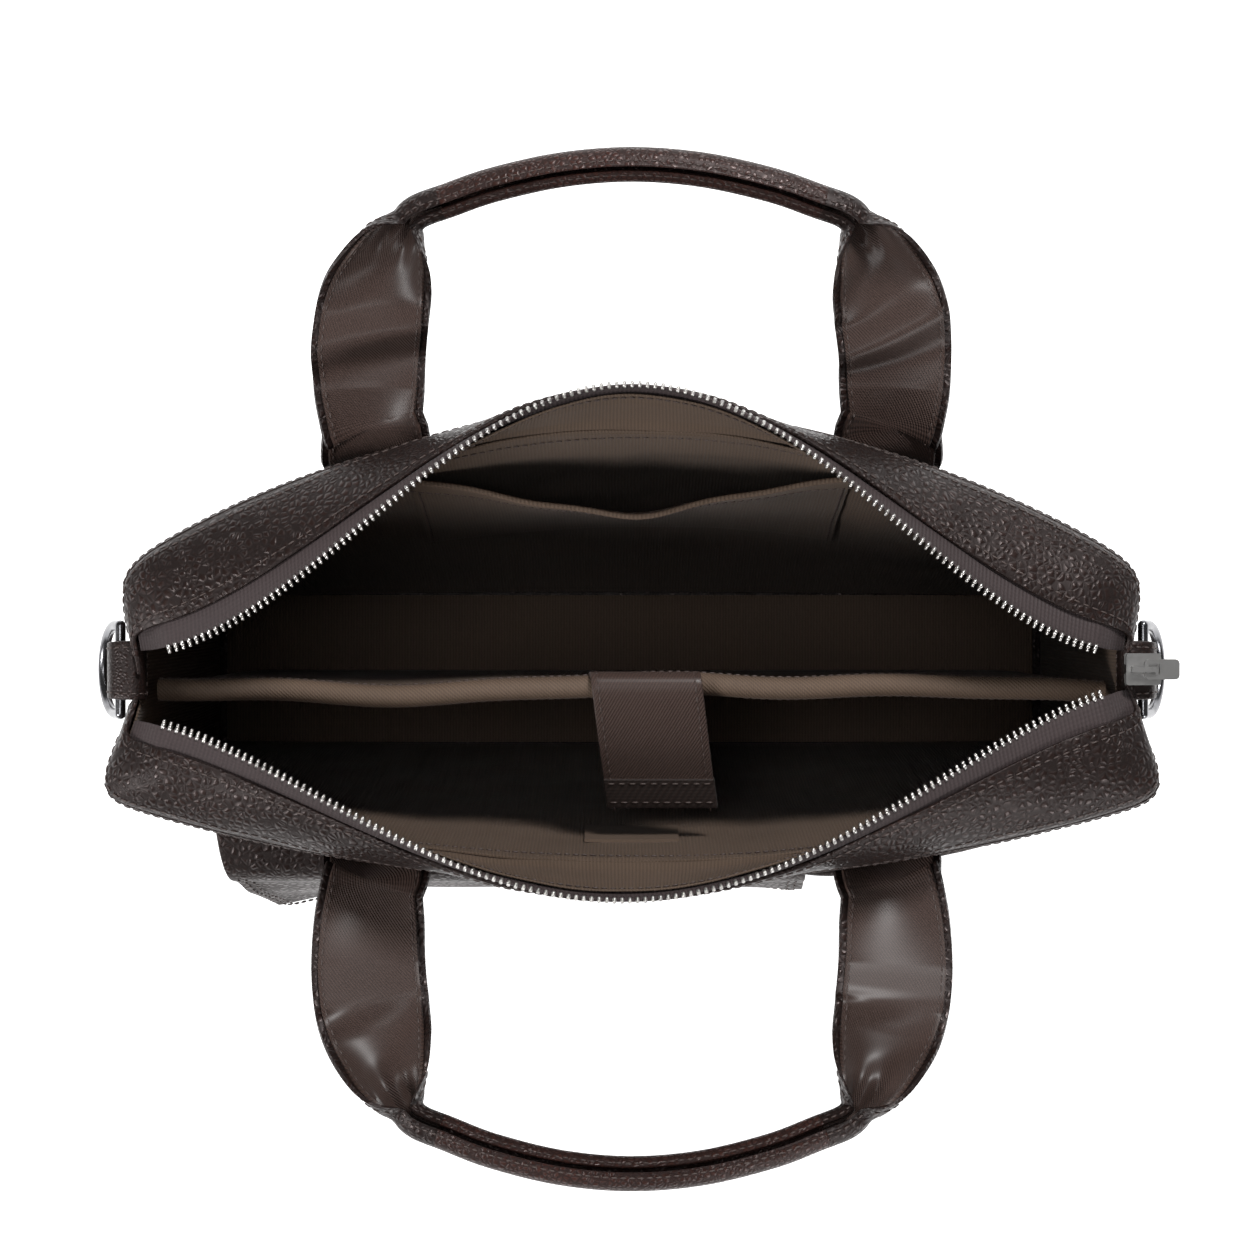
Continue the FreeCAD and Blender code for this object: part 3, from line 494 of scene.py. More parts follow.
def metal_material(name, colour, rough=0.18, scratch=0.12):
    """Polished metal with fine scratches and a little tarnish."""
    if name in bpy.data.materials:
        return bpy.data.materials[name]
    material, tree, shader = new_material(name)
    place = tree.nodes.new("ShaderNodeTexCoord").outputs["Object"]
    stretched = add_node(tree, "ShaderNodeMapping", None, Vector=place, Scale=(1.0, 6.0, 6.0)).outputs[0]
    lines = noise_value(tree, stretched, 700.0, 4.0, 0.7)
    dull = noise_value(tree, place, 120.0, 3.0)
    base = mix_colour(tree, ramp(tree, dull, 0.45, 0.75), colour, [c * 0.62 for c in colour])
    roughness = maths(tree, "ADD", rough, maths(tree, "MULTIPLY", maths(tree, "ADD", lines, dull), scratch))
    bump = add_node(tree, "ShaderNodeBump", None, Strength=0.08, Distance=SCRATCH_HEIGHT, Height=lines)
    wire(tree, shader, {"Base Color": base, "Roughness": roughness, "Normal": bump.outputs["Normal"]})
    settle(shader, {"Metallic": 1.0})
    return material


def thread_material():
    """Twisted polyester thread."""
    if "sewing_thread" in bpy.data.materials:
        return bpy.data.materials["sewing_thread"]
    material, tree, shader = new_material("sewing_thread")
    place = tree.nodes.new("ShaderNodeTexCoord").outputs["Object"]
    twist = noise_value(tree, place, 2500.0, 2.0)
    colour = list(colours().thread)
    base = mix_colour(tree, twist, [c * 0.6 for c in colour], [c * 1.7 for c in colour])
    roughness = maths(tree, "ADD", 0.45, maths(tree, "MULTIPLY", twist, 0.2))
    bump = add_node(tree, "ShaderNodeBump", None, Strength=0.5, Distance=THREAD_HEIGHT, Height=twist)
    wire(tree, shader, {"Base Color": base, "Roughness": roughness, "Normal": bump.outputs["Normal"]})
    return material


# ---------------------------------------------------------------- mesh helpers

RIM_ANGLE = math.radians(50)       # edges sharper than this are rims

def smooth_step(value, start, end):
    """0 before start, 1 after end, smooth between."""
    share = np.clip((value - start) / (end - start), 0, 1)
    return share * share * (3 - 2 * share)


def soft_noise(points, scale, seed=0.0):
    """Smooth noise from -1 to 1 at each point of an array."""
    flat = points.reshape(-1, 3)
    values = [noise.noise(Vector(p) * scale + Vector((seed, seed * 1.7, -seed))) for p in flat]
    return np.array(values).reshape(points.shape[:-1])


def blur(points, sigma, closed=True):
    """Rows of points smoothed along their first axis; sigma is in samples."""
    reach = int(3 * sigma) + 1
    offsets = np.arange(-reach, reach + 1)
    weights = np.exp(-0.5 * (offsets / sigma) ** 2)
    weights /= weights.sum()
    total = np.zeros_like(points)
    count = len(points)
    for offset, weight in zip(offsets, weights):
        index = np.arange(count) + offset
        index = index % count if closed else np.clip(index, 0, count - 1)
        total += weight * points[index]
    return total


def lengths_along(line):
    """Distance from a line's start to each of its points."""
    return np.r_[0, np.cumsum(np.linalg.norm(np.diff(line, axis=0), axis=1))]


def spline(points, count):
    """A smooth curve through points, evenly spaced along its length."""
    points = np.array(points, float)
    ends = [2 * points[0] - points[1], 2 * points[-1] - points[-2]]
    padded = np.vstack([ends[0], points, ends[1]])
    dense = []
    steps = 24                     # points between one given point and the next
    for i in range(1, len(padded) - 2):
        p0, p1, p2, p3 = padded[i - 1:i + 3]
        for k in range(steps):
            s = k / steps
            dense.append(0.5 * (2 * p1 + (p2 - p0) * s + (2 * p0 - 5 * p1 + 4 * p2 - p3) * s ** 2
                                + (3 * p1 - p0 - 3 * p2 + p3) * s ** 3))
    dense.append(points[-1])
    return resample(np.array(dense), count)


def resample(dense, count):
    """Points evenly spaced along a polyline; columns after the first three go with them."""
    lengths = lengths_along(dense[:, :3])
    wanted = np.linspace(0, lengths[-1], count)
    return np.stack([np.interp(wanted, lengths, values) for values in dense.T], axis=1)


def unit(vectors):
    """Vectors made unit length along the last axis."""
    return vectors / np.maximum(np.linalg.norm(vectors, axis=-1, keepdims=True), 1e-12)


def grid_normals(grid):
    """Normals of a grid of points, from its two directions."""
    return unit(np.cross(np.gradient(grid, axis=1), np.gradient(grid, axis=0)))


def spread(across, up, columns, rows):
    """A grid's two sets of places: columns run between the ends of across, and rows between those of up."""
    return np.broadcast_arrays(np.linspace(*across, columns)[None, :], np.linspace(*up, rows)[:, None])


def lay_out(mesh, grid):
    """Gives a mesh made from a grid a UV map in metres, called cloth."""
    rows, columns = grid.shape[:2]
    across, along = lengths_along(grid[rows // 2]), lengths_along(grid[:, columns // 2])
    layer = mesh.uv_layers.new(name="cloth")
    for loop in mesh.loops:
        row, column = divmod(loop.vertex_index % (rows * columns), columns)
        layer.data[loop.index].uv = (across[column], along[row])


def grid_quads(rows, columns):
    """The faces of a grid, each as four point numbers."""
    corners = [(i * columns + j, (i + 1) * columns + j) for i in range(rows - 1) for j in range(columns - 1)]
    return [(a, a + 1, d + 1, d) for a, d in corners]


def grid_mesh(name, grid, material, flip=False):
    """A sheet without thickness from a grid of points."""
    mesh = bpy.data.meshes.new(name)
    quads = grid_quads(*grid.shape[:2])
    mesh.from_pydata([tuple(p) for p in grid.reshape(-1, 3)], [], [q[::-1] for q in quads] if flip else quads)
    lay_out(mesh, grid)
    mesh.update()
    return new_object(name, mesh, material)


def new_object(name, mesh, material):
    """An object of a mesh with one material and smooth faces."""
    item = bpy.data.objects.new(name, mesh)
    bpy.context.scene.collection.objects.link(item)
    item.data.materials.clear()
    item.data.materials.append(material)
    shade_smooth(item)
    return item


def shade_smooth(item):
    """Smooth shading on every face."""
    item.data.polygons.foreach_set("use_smooth", [True] * len(item.data.polygons))
    item.data.update()


def apply_modifiers(item):
    """Turns the object's modifiers into plain mesh."""
    graph = bpy.context.evaluated_depsgraph_get()
    mesh = bpy.data.meshes.new_from_object(item.evaluated_get(graph), depsgraph=graph)
    item.modifiers.clear()
    item.data = mesh
    shade_smooth(item)


def round_rims(item, width):
    """Rounds the sharp rims of a sheet."""
    edge = item.modifiers.new("rims", "BEVEL")
    edge.width = width
    edge.segments = 2
    edge.limit_method = "ANGLE"
    edge.angle_limit = RIM_ANGLE


def thicken(item, thickness, bevel):
    """Gives a sheet its thickness, with rounded rims."""
    solid = item.modifiers.new("thickness", "SOLIDIFY")
    solid.thickness = thickness
    solid.offset = -1.0
    solid.use_even_offset = False
    round_rims(item, bevel)
    apply_modifiers(item)
    return item


def join(name, items):
    """Several objects as one."""
    mesh = bmesh.new()
    for item in items:
        mesh.from_mesh(item.data)
    data = bpy.data.meshes.new(name)
    mesh.to_mesh(data)
    mesh.free()
    material = items[0].data.materials[0]
    for item in items:
        bpy.data.objects.remove(item)
    return new_object(name, data, material)


# ---------------------------------------------------------------- repeats made with geometry nodes

def geometry_tree(name, inputs):
    """An empty geometry node tree with a mesh going in and out, and named inputs."""
    tree = bpy.data.node_groups.new(name, "GeometryNodeTree")
    tree.interface.new_socket("Geometry", in_out="INPUT", socket_type="NodeSocketGeometry")
    for label, kind in inputs:
        tree.interface.new_socket(label, in_out="INPUT", socket_type=kind)
    tree.interface.new_socket("Geometry", in_out="OUTPUT", socket_type="NodeSocketGeometry")
    return tree, tree.nodes.new("NodeGroupInput"), tree.nodes.new("NodeGroupOutput")


def row_tree(name, unit_builder, extra_inputs):
    """Places a unit along every line of a mesh, turned to the line and to its 'up' attribute."""
    inputs = [("Pitch", "NodeSocketFloat")] + extra_inputs + [("Material", "NodeSocketMaterial")]
    tree, start, end = geometry_tree(name, inputs)
    curve = add_node(tree, "GeometryNodeMeshToCurve", None, Mesh=start.outputs["Geometry"])
    even = add_node(tree, "GeometryNodeResampleCurve", {"mode": "LENGTH"}, Curve=curve.outputs["Curve"],
                    Length=start.outputs["Pitch"])
    tangent = tree.nodes.new("GeometryNodeInputTangent")
    up = add_node(tree, "GeometryNodeInputNamedAttribute", {"data_type": "FLOAT_VECTOR"}, Name="up")
    along = add_node(tree, "FunctionNodeAlignRotationToVector", {"axis": "X"},
                     Vector=tangent.outputs["Tangent"])
    upright = add_node(tree, "FunctionNodeAlignRotationToVector", {"axis": "Z", "pivot_axis": "X"},
                       Rotation=along.outputs["Rotation"], Vector=up.outputs["Attribute"])
    place = add_node(tree, "GeometryNodeInstanceOnPoints", None, Points=even.outputs["Curve"],
                     Instance=unit_builder(tree, start), Rotation=upright.outputs["Rotation"])
    real = add_node(tree, "GeometryNodeRealizeInstances", None, Geometry=place.outputs["Instances"])
    paint = add_node(tree, "GeometryNodeSetMaterial", None, Geometry=real.outputs["Geometry"],
                     Material=start.outputs["Material"])
    tree.links.new(paint.outputs["Geometry"], end.inputs["Geometry"])
    return tree


def stitch_unit(tree, start):
    """One stitch: a short thread, thinner where it dips into the cloth."""
    ball = add_node(tree, "GeometryNodeMeshUVSphere", None, Segments=6, Rings=4,
                    Radius=start.outputs["Radius"])
    shape = add_node(tree, "GeometryNodeTransform", None, Geometry=ball.outputs["Mesh"])
    stretch = add_node(tree, "ShaderNodeCombineXYZ", None, X=start.outputs["Stretch"], Y=1.0, Z=1.0)
    tree.links.new(stretch.outputs["Vector"], shape.inputs["Scale"])
    return shape.outputs["Geometry"]


# A tooth's two blocks, in millimetres: x along the row, y towards the mouth, z out of the tape.
CLAMP_SIZE, CLAMP_PLACE = (1.35, 2.3, 2.3), (0, -0.5, 0)
HEAD_SIZE, HEAD_PLACE = (1.0, 1.5, 1.5), (0, 1.1, 0.15)


def tooth_unit(tree, start):
    """One zip tooth: a clamp over the tape's edge with a rounded head towards the mouth."""
    join_up = tree.nodes.new("GeometryNodeJoinGeometry")
    for size, place in ((CLAMP_SIZE, CLAMP_PLACE), (HEAD_SIZE, HEAD_PLACE)):
        block = add_node(tree, "GeometryNodeMeshCube", None, Size=[s * MM for s in size])
        move = add_node(tree, "GeometryNodeTransform", None, Geometry=block.outputs["Mesh"],
                        Translation=[p * MM for p in place])
        tree.links.new(move.outputs["Geometry"], join_up.inputs["Geometry"])
    smooth = add_node(tree, "GeometryNodeSubdivisionSurface", {}, Mesh=join_up.outputs["Geometry"], Level=1)
    smooth.inputs["Edge Crease"].default_value = 0.55
    return smooth.outputs["Mesh"]


def line_object(name, lines):
    """A mesh of open lines with an 'up' vector on each point; lines are (points, ups)."""
    mesh = bpy.data.meshes.new(name)
    points, edges, ups = [], [], []
    for line, up in lines:
        start = len(points)
        points += [tuple(p) for p in line]
        ups += [tuple(u) for u in np.broadcast_to(up, np.shape(line))]
        edges += [(start + i, start + i + 1) for i in range(len(line) - 1)]
    mesh.from_pydata(points, edges, [])
    attribute = mesh.attributes.new("up", "FLOAT_VECTOR", "POINT")
    attribute.data.foreach_set("vector", np.array(ups, np.float32).ravel())
    item = bpy.data.objects.new(name, mesh)
    bpy.context.scene.collection.objects.link(item)
    return item


def run_tree(item, tree, values):
    """Runs a geometry node tree on an object and keeps the result as plain mesh."""
    modifier = item.modifiers.new(tree.name, "NODES")
    modifier.node_group = tree
    for socket in tree.interface.items_tree:
        if socket.in_out == "INPUT" and socket.name in values:
            modifier[socket.identifier] = values[socket.name]
    item.update_tag()
    bpy.context.view_layer.update()
    apply_modifiers(item)


STITCH_SHARE = 0.40                # half a stitch's length as a share of the pitch


def stitch_rows(name, lines, body, pitch=None):
    """Rows of stitches along lines, as one piece that rides on a body if one is given."""
    tree = bpy.data.node_groups.get("Stitch row") or row_tree(
        "Stitch row", stitch_unit, [("Radius", "NodeSocketFloat"), ("Stretch", "NodeSocketFloat")])
    pitch = pitch or sizes().stitch_pitch
    radius = sizes().stitch_radius
    item = line_object(name, lines)
    run_tree(item, tree, {"Pitch": pitch, "Radius": radius, "Stretch": pitch * STITCH_SHARE / radius,
                          "Material": thread_material()})
    if body:
        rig.ride(item, body)
        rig.slot(item, "leather")
    return item


def finish_piece(item, body, slot, *nodes):
    """Says what a piece rides on, its finish, and which CAD nodes it stands for."""
    if body:
        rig.ride(item, body)
    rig.slot(item, slot)
    if nodes:
        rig.replaces(item, *nodes)
    return item


# ---------------------------------------------------------------- shape of the shell

WALL_STEPS, END_STEPS = 120, 26           # columns of the shell along a long wall and an end
WALL_ROWS, STRIP_ROWS = 64, 12            # rows up the walls, and over the strips beside the zip
LEATHER_SHARE = 0.80                      # how far the leather strip reaches from seam to teeth
END_FOLD = 7 * MM                         # how far the ends fold in at the middle of their tops
ROUNDING = 1.7                            # softness of the shell's upright corners, in columns
FIRST = {"front": 0, "right": WALL_STEPS, "back": WALL_STEPS + END_STEPS, "left": 2 * WALL_STEPS + END_STEPS}
ALL_COLUMNS = 2 * (WALL_STEPS + END_STEPS)
SEAM_DIP = 6.5 * MM                       # how far the ends' seams dip in their middles
BASE_OUT = 1.1 * MM                       # clearance of a sewn-on piece from the wall
shapes = {}                               # what has been worked out once


def swell(u, power):
    """1 at the middle of the bag, falling to 0 at its ends."""
    return np.cos(math.pi / 2 * np.minimum(np.abs(u), 1)) ** power


def seam_line(face, u):
    """A wall's top seam at places along the bag."""
    y = SEAM_CORNER[face] + (SEAM_MID[face] - SEAM_CORNER[face]) * swell(u, 0.8)
    return np.stack([u * HALF_LENGTH[face], SIDE[face] * y, np.full_like(u, SEAM_Z)], axis=-1)


def teeth_line(face, u):
    """A row of zip teeth at places along the bag."""
    y = MOUTH_CORNER[face] + (MOUTH_MID[face] - MOUTH_CORNER[face]) * swell(u, MOUTH_POWER[face])
    if face == "front":
        y = y - FRONT_SKEW * u
    rise = END_RISE + MID_RISE * swell(u, 1)
    return np.stack([u * MOUTH_HALF[face], SIDE[face] * y, SEAM_Z + rise], axis=-1)


def strip_surface(face, u, across):
    """The outer face of the strip from a wall's seam to the teeth."""
    u, across = np.broadcast_arrays(np.asarray(u, float), np.asarray(across, float))
    start = seam_line(face, u)
    start[..., 2] += 0.6 * MM
    end = teeth_line(face, u)
    point = start + (end - start) * across[..., None]
    crown = 5.0 * MM * np.sin(math.pi * np.clip(across, 0, 1)) * (0.45 + 0.55 * np.abs(u) ** 2)
    point[..., 1] += SIDE[face] * crown * 0.6
    point[..., 2] += crown * 0.8
    point[..., 2] -= 8 * MM * smooth_step(np.abs(u), 0.925, 1.0) * (0.25 + 0.75 * across)
    return point


def strip_frame(face, u, across):
    """Point, outward normal and direction along a strip beside the zip."""
    d = 0.004
    point = strip_surface(face, u, across)
    along = unit(strip_surface(face, u + d, across) - strip_surface(face, u - d, across))
    over = unit(strip_surface(face, u, across + d) - strip_surface(face, u, across - d))
    return point, -SIDE[face] * unit(np.cross(along, over)), along


def end_run(start, end, dip, out):
    """Points between two corners of the bag's end, dipping and standing out in the middle."""
    share = (np.arange(1, END_STEPS) / END_STEPS)[:, None]
    hump = smooth_step(share[:, 0], 0, 0.3) * smooth_step(1 - share[:, 0], 0, 0.3)
    run = start + (end - start) * share
    run[:, 2] -= dip * hump
    run[:, 0] += np.sign(start[0]) * out * np.sin(math.pi * share[:, 0]) ** 2
    return run


def closed_loop(line, dip, out):
    """One closed loop round the bag: front, right end, back, left end."""
    u = np.linspace(-1, 1, WALL_STEPS + 1)
    front, back = line("front", u), line("back", u[::-1])
    right = end_run(front[-1], back[0], dip, out)
    left = end_run(back[-1], front[0], dip, out)
    return np.vstack([front, right, back, left])


def floor_line(face, u):
    """A wall's lower edge."""
    return np.stack([u * FLOOR_HALF, np.full_like(u, SIDE[face] * FLOOR_DEPTH), np.zeros_like(u)], axis=-1)


def build_shell():
    """The outer face of the bag as a grid: rows go up, columns go round."""
    floor = closed_loop(floor_line, 0, 0)
    seam = closed_loop(seam_line, SEAM_DIP, -END_FOLD)
    edge = closed_loop(lambda face, u: strip_surface(face, u, LEATHER_SHARE), 2 * MM, -3 * MM)
    u = np.r_[np.linspace(-1, 1, WALL_STEPS + 1), np.ones(END_STEPS - 1),
              np.linspace(1, -1, WALL_STEPS + 1), -np.ones(END_STEPS - 1)]
    rows = [floor + (seam - floor) * (i / WALL_ROWS) for i in range(WALL_ROWS)]
    columns = np.arange(ALL_COLUMNS)
    for i in range(STRIP_ROWS + 1):
        v = i / STRIP_ROWS
        row = seam + (edge - seam) * v
        for face in SIDE:
            wall = (columns >= FIRST[face]) & (columns <= FIRST[face] + WALL_STEPS)
            row[wall] = strip_surface(face, u[wall], v * LEATHER_SHARE)
        rows.append(row)
    grid = np.stack([blur(row, ROUNDING) for row in rows])
    first, last = grid[0], grid[-1]
    grid = blur(grid, 1.5, closed=False)
    grid[0], grid[-1] = first, last
    height = np.clip(np.arange(len(grid)) / WALL_ROWS, 0, 1)[:, None]
    fullness = swell(u, 0.6)[None, :]
    belly = np.sin(math.pi * height) ** 1.2 * (4.2 * fullness - 1.6) * MM
    fold = sizes().slump * soft_noise(grid, 9.0, 3.1) + 0.55 * MM * soft_noise(grid, 34.0, 8.2)
    calm = np.clip(np.arange(len(grid)) / 6, 0, 1)[:, None] * (0.35 + 0.65 * np.sin(math.pi * height))
    strip_rows = np.arange(len(grid))[:, None] > WALL_ROWS
    ripple = 0.8 * MM * soft_noise(grid, 42.0, 1.4)
    return grid + grid_normals_round(grid) * (belly + np.where(strip_rows, ripple, fold * calm))[..., None]


def grid_normals_round(grid):
    """Outward normals of a grid that closes on itself."""
    around = np.roll(grid, -1, axis=1) - np.roll(grid, 1, axis=1)
    return unit(np.cross(around, np.gradient(grid, axis=0)))


def shell():
    """The shell's grid of points and its normals, worked out once."""
    if "shell" not in shapes:
        grid = build_shell()
        shapes["shell"] = (grid, grid_normals_round(grid))
    return shapes["shell"]


def grid_at(grid, row, column):
    """Points of a closed grid between its rows and columns."""
    row, column = np.broadcast_arrays(np.asarray(row, float), np.asarray(column, float))
    r = np.clip(np.floor(row).astype(int), 0, grid.shape[0] - 2)
    c = np.floor(column).astype(int)
    part_r, part_c = (row - r)[..., None], (column - c)[..., None]
    count = grid.shape[1]
    lower = grid[r, c % count] * (1 - part_c) + grid[r, (c + 1) % count] * part_c
    upper = grid[r + 1, c % count] * (1 - part_c) + grid[r + 1, (c + 1) % count] * part_c
    return lower * (1 - part_r) + upper * part_r


def on_shell(row, column, out=0.0):
    """Points on the shell at rows and columns, moved outwards."""
    points, normals = shell()
    out = np.asarray(out, float)
    return grid_at(points, row, column) + unit(grid_at(normals, row, column)) * out[..., None]


def find_wall(face, x, z):
    """Row and column of the shell at a place on the front or back wall."""
    x, z = np.broadcast_arrays(np.asarray(x, float), np.asarray(z, float))
    share = z / SEAM_Z
    half = FLOOR_HALF + (HALF_LENGTH[face] - FLOOR_HALF) * share
    heading = -SIDE[face]
    column = FIRST[face] + (heading * x / half + 1) / 2 * WALL_STEPS
    row = share * WALL_ROWS
    for _ in range(4):
        point = grid_at(shell()[0], row, column)
        column = column + heading * (x - point[..., 0]) / (2 * half / WALL_STEPS)
        row = row + (z - point[..., 2]) / (SEAM_Z / WALL_ROWS)
    return row, column


def on_wall(face, x, z, out=0.0):
    """Points on the front or back wall at x and z, moved outwards."""
    return on_shell(*find_wall(face, x, z), out)


def wall_normal(face, x, z):
    """Outward normals of the front or back wall."""
    return unit(grid_at(shell()[1], *find_wall(face, x, z)))


def shell_seam(row, column, out):
    """A line on the shell with its outward normals, for a row of stitches."""
    return on_shell(row, column, out), unit(grid_at(shell()[1], row, column))


def wall_seam(face, x, z, out):
    """A line on the front or back wall with its outward normals, for a row of stitches."""
    return on_wall(face, x, z, out), wall_normal(face, x, z)


def shell_patch(name, rows, columns, out, material):
    """A sheet cut from the shell between rows and columns, with rounded rims."""
    column, row = spread(columns, rows, *(int(round(last - first)) + 1 for first, last in (columns, rows)))
    item = grid_mesh(name, on_shell(row, column, np.full(row.shape, out)), material)
    return thicken(item, sizes().leather, 0.45 * MM)


# ---------------------------------------------------------------- stage and leather shell

FLOOR_REACH = 6.0
SKY_LIGHT = 0.10                          # strength of the light from all round
VIEW_PLACE = (-3.8 * MM, 20.2 * MM, 1.37)
MOUTH_HEIGHT, VIEW_WIDTH = 0.27, 0.426    # the view is this wide at the height of the mouth
# Name, place, aim, width and power of each lamp.
LAMPS = (("key", (0.45, 1.2, 1.5), (0, 0.05, 0.2), 0.45, 34),
         ("fill", (-1.2, -0.6, 1.15), (0, 0, 0.2), 0.6, 20),
         ("front", (0.8, -1.3, 0.9), (0, 0, 0.15), 0.7, 12),
         ("top", (-0.2, 0.1, 2.3), (0, 0, 0.2), 0.6, 7))
PANEL_LAP, END_LAP = 2.2, 4               # how far walls and ends reach past the corners, in columns
PANEL_OUT = 1.0 * MM                      # how far the walls' leather stands over the ends'
STRIP_OUT = 0.6 * MM
SEAM_INSET = 1.3                          # from a rim to its stitches, in rows or columns


class BRIEFCASE_OT_stage(bpy.types.Operator):
    """Set up the floor, the lights and the camera"""
    bl_idname = "briefcase.stage"
    bl_label = "Stage"

    def execute(self, context):
        scene = context.scene
        scene.view_settings.view_transform = "Standard"
        world = bpy.data.worlds.new("studio")
        world.use_nodes = True
        tree = world.node_tree
        settle(tree.nodes["Background"], {"Color": (1, 1, 1, 1)})
        seen = add_node(tree, "ShaderNodeLightPath").outputs["Is Camera Ray"]
        strength = maths(tree, "ADD", SKY_LIGHT, maths(tree, "MULTIPLY", seen, 1.0 - SKY_LIGHT))
        wire(tree, tree.nodes["Background"], {"Strength": strength})
        scene.world = world
        mesh = bpy.data.meshes.new("floor")
        corners = [(x * FLOOR_REACH, y * FLOOR_REACH, 0) for x, y in ((-1, -1), (1, -1), (1, 1), (-1, 1))]
        mesh.from_pydata(corners, [], [(0, 1, 2, 3)])
        material, _, shader = new_material("pale_floor")
        settle(shader, {"Base Color": (0.92, 0.92, 0.92, 1), "Roughness": 0.8, "Specular IOR Level": 0.1,
                        "Emission Color": (1, 1, 1, 1), "Emission Strength": 0.68})
        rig.stage(new_object("floor", mesh, material))
        for name, place, aim, size, power in LAMPS:
            lamp = bpy.data.lights.new(name, "AREA")
            lamp.shape = "DISK"
            lamp.size = size
            lamp.energy = power
            item = bpy.data.objects.new(name, lamp)
            item.location = place
            item.rotation_euler = (Vector(aim) - Vector(place)).to_track_quat("-Z", "Y").to_euler()
            scene.collection.objects.link(item)
        lens = bpy.data.cameras.new("camera")
        lens.sensor_width = 36
        lens.lens = lens.sensor_width * (VIEW_PLACE[2] - MOUTH_HEIGHT) / VIEW_WIDTH
        camera = bpy.data.objects.new("camera", lens)
        camera.location = VIEW_PLACE
        scene.collection.objects.link(camera)
        scene.camera = camera
        return {"FINISHED"}


class BRIEFCASE_OT_shell(bpy.types.Operator):
    """Make the leather of the walls, ends and zip strips, with its seams"""
    bl_idname = "briefcase.shell"
    bl_label = "Leather shell"

    def execute(self, context):
        leather = leather_material()
        rows = WALL_ROWS + STRIP_ROWS
        half = END_STEPS / 2 - 2.5
        for face in SIDE:
            first, last = FIRST[face], FIRST[face] + WALL_STEPS
            panel = shell_patch(face + "_leather_panel", (0, WALL_ROWS),
                                (first - PANEL_LAP, last + PANEL_LAP), PANEL_OUT, leather)
            finish_piece(panel, "shell", "leather", face + "_panel", face + "_foam")
        for end in ("right", "left"):
            gusset = shell_patch(end + "_end_leather", (0, WALL_ROWS),
                                 (FIRST[end] - END_LAP, FIRST[end] + END_STEPS + END_LAP), 0, leather)
            finish_piece(gusset, "shell", "leather", end + "_gusset")
        lines = []
        for face in SIDE:
            first, last = FIRST[face], FIRST[face] + WALL_STEPS
            strip = shell_patch(face + "_zip_strip", (WALL_ROWS, rows), (first - half, last + half),
                                STRIP_OUT, leather)
            finish_piece(strip, "shell", "leather", face + "_top_gusset")
            sides = (first - PANEL_LAP + SEAM_INSET, last + PANEL_LAP - SEAM_INSET)
            for column in sides:
                lines.append(shell_seam(np.linspace(1, WALL_ROWS - 2, 120), column, PANEL_OUT + 0.1 * MM))
            lines.append(shell_seam(WALL_ROWS - 1.1, np.linspace(*sides, 260), PANEL_OUT + 0.1 * MM))
            for row in (WALL_ROWS + 1.6, rows - SEAM_INSET):
                lines.append(shell_seam(row, np.linspace(first - 6, last + 6, 260), STRIP_OUT + 0.1 * MM))
        stitch_rows("shell_stitching", lines, "shell")
        return {"FINISHED"}


TAPE_START = 0.56                         # where the tape starts, as a share of the way from seam to teeth
TEETH_UNDER = 0.9 * MM                    # how far the teeth's middles lie below the strip's face


class BRIEFCASE_OT_zip(bpy.types.Operator):
    """Make the zip's tapes and its two rows of teeth"""
    bl_idname = "briefcase.zip"
    bl_label = "Zip tapes and teeth"

    def execute(self, context):
        tape = cloth_material("zip_tape_weave", colours().tape, threads=4200.0, slant=0.0, contrast=0.3)
        silver = metal_material("zip_teeth_metal", (0.62, 0.60, 0.58), 0.22)
        tree = row_tree("Zip teeth", tooth_unit, [])
        for face in SIDE:
            u, across = spread((-0.995, 0.995), (TAPE_START, 0.985), 181, 9)
            point, normal, _ = strip_frame(face, u, across)
            under = np.interp(across, [TAPE_START, LEATHER_SHARE, LEATHER_SHARE], [2.6, 1.8, 0.6]) * MM
            grid = point - normal * under[..., None]
            item = grid_mesh(face + "_tape", grid, tape, flip=face == "back")
            thicken(item, 0.9 * MM, 0.3 * MM)
            finish_piece(item, "shell", "zip_tape", face + "_zip_tape")
            u = np.linspace(-0.93, 0.93, 400) * -SIDE[face]
            point, normal, _ = strip_frame(face, u, np.full_like(u, 1.0))
            teeth = line_object(face + "_teeth", [(point - normal * TEETH_UNDER, normal)])
            run_tree(teeth, tree, {"Pitch": sizes().tooth_pitch, "Material": silver})
            finish_piece(teeth, "shell", "zip_metal", face + "_zip_teeth")
        return {"FINISHED"}


# ---------------------------------------------------------------- interior

def slab(name, outer, inner, material, bevel=0.35 * MM):
    """A closed sheet between two grids of points, with rounded rims."""
    rows, columns = outer.shape[:2]
    count = rows * columns
    faces = []
    for quad in grid_quads(rows, columns):
        faces += [quad, tuple(corner + count for corner in quad[::-1])]
    rim = [i * columns for i in range(rows)] + [(rows - 1) * columns + j for j in range(1, columns)]
    rim += [i * columns + columns - 1 for i in range(rows - 2, -1, -1)] + list(range(columns - 2, 0, -1))
    faces += [(a, b, b + count, a + count) for a, b in zip(rim, rim[1:] + rim[:1])]
    mesh = bpy.data.meshes.new(name)
    mesh.from_pydata([tuple(p) for p in np.vstack([outer.reshape(-1, 3), inner.reshape(-1, 3)])], [], faces)
    lay_out(mesh, outer)
    shape = bmesh.new()
    shape.from_mesh(mesh)
    bmesh.ops.recalc_face_normals(shape, faces=shape.faces)
    shape.to_mesh(mesh)
    shape.free()
    item = new_object(name, mesh, material)
    if bevel:
        round_rims(item, bevel)
    apply_modifiers(item)
    return item


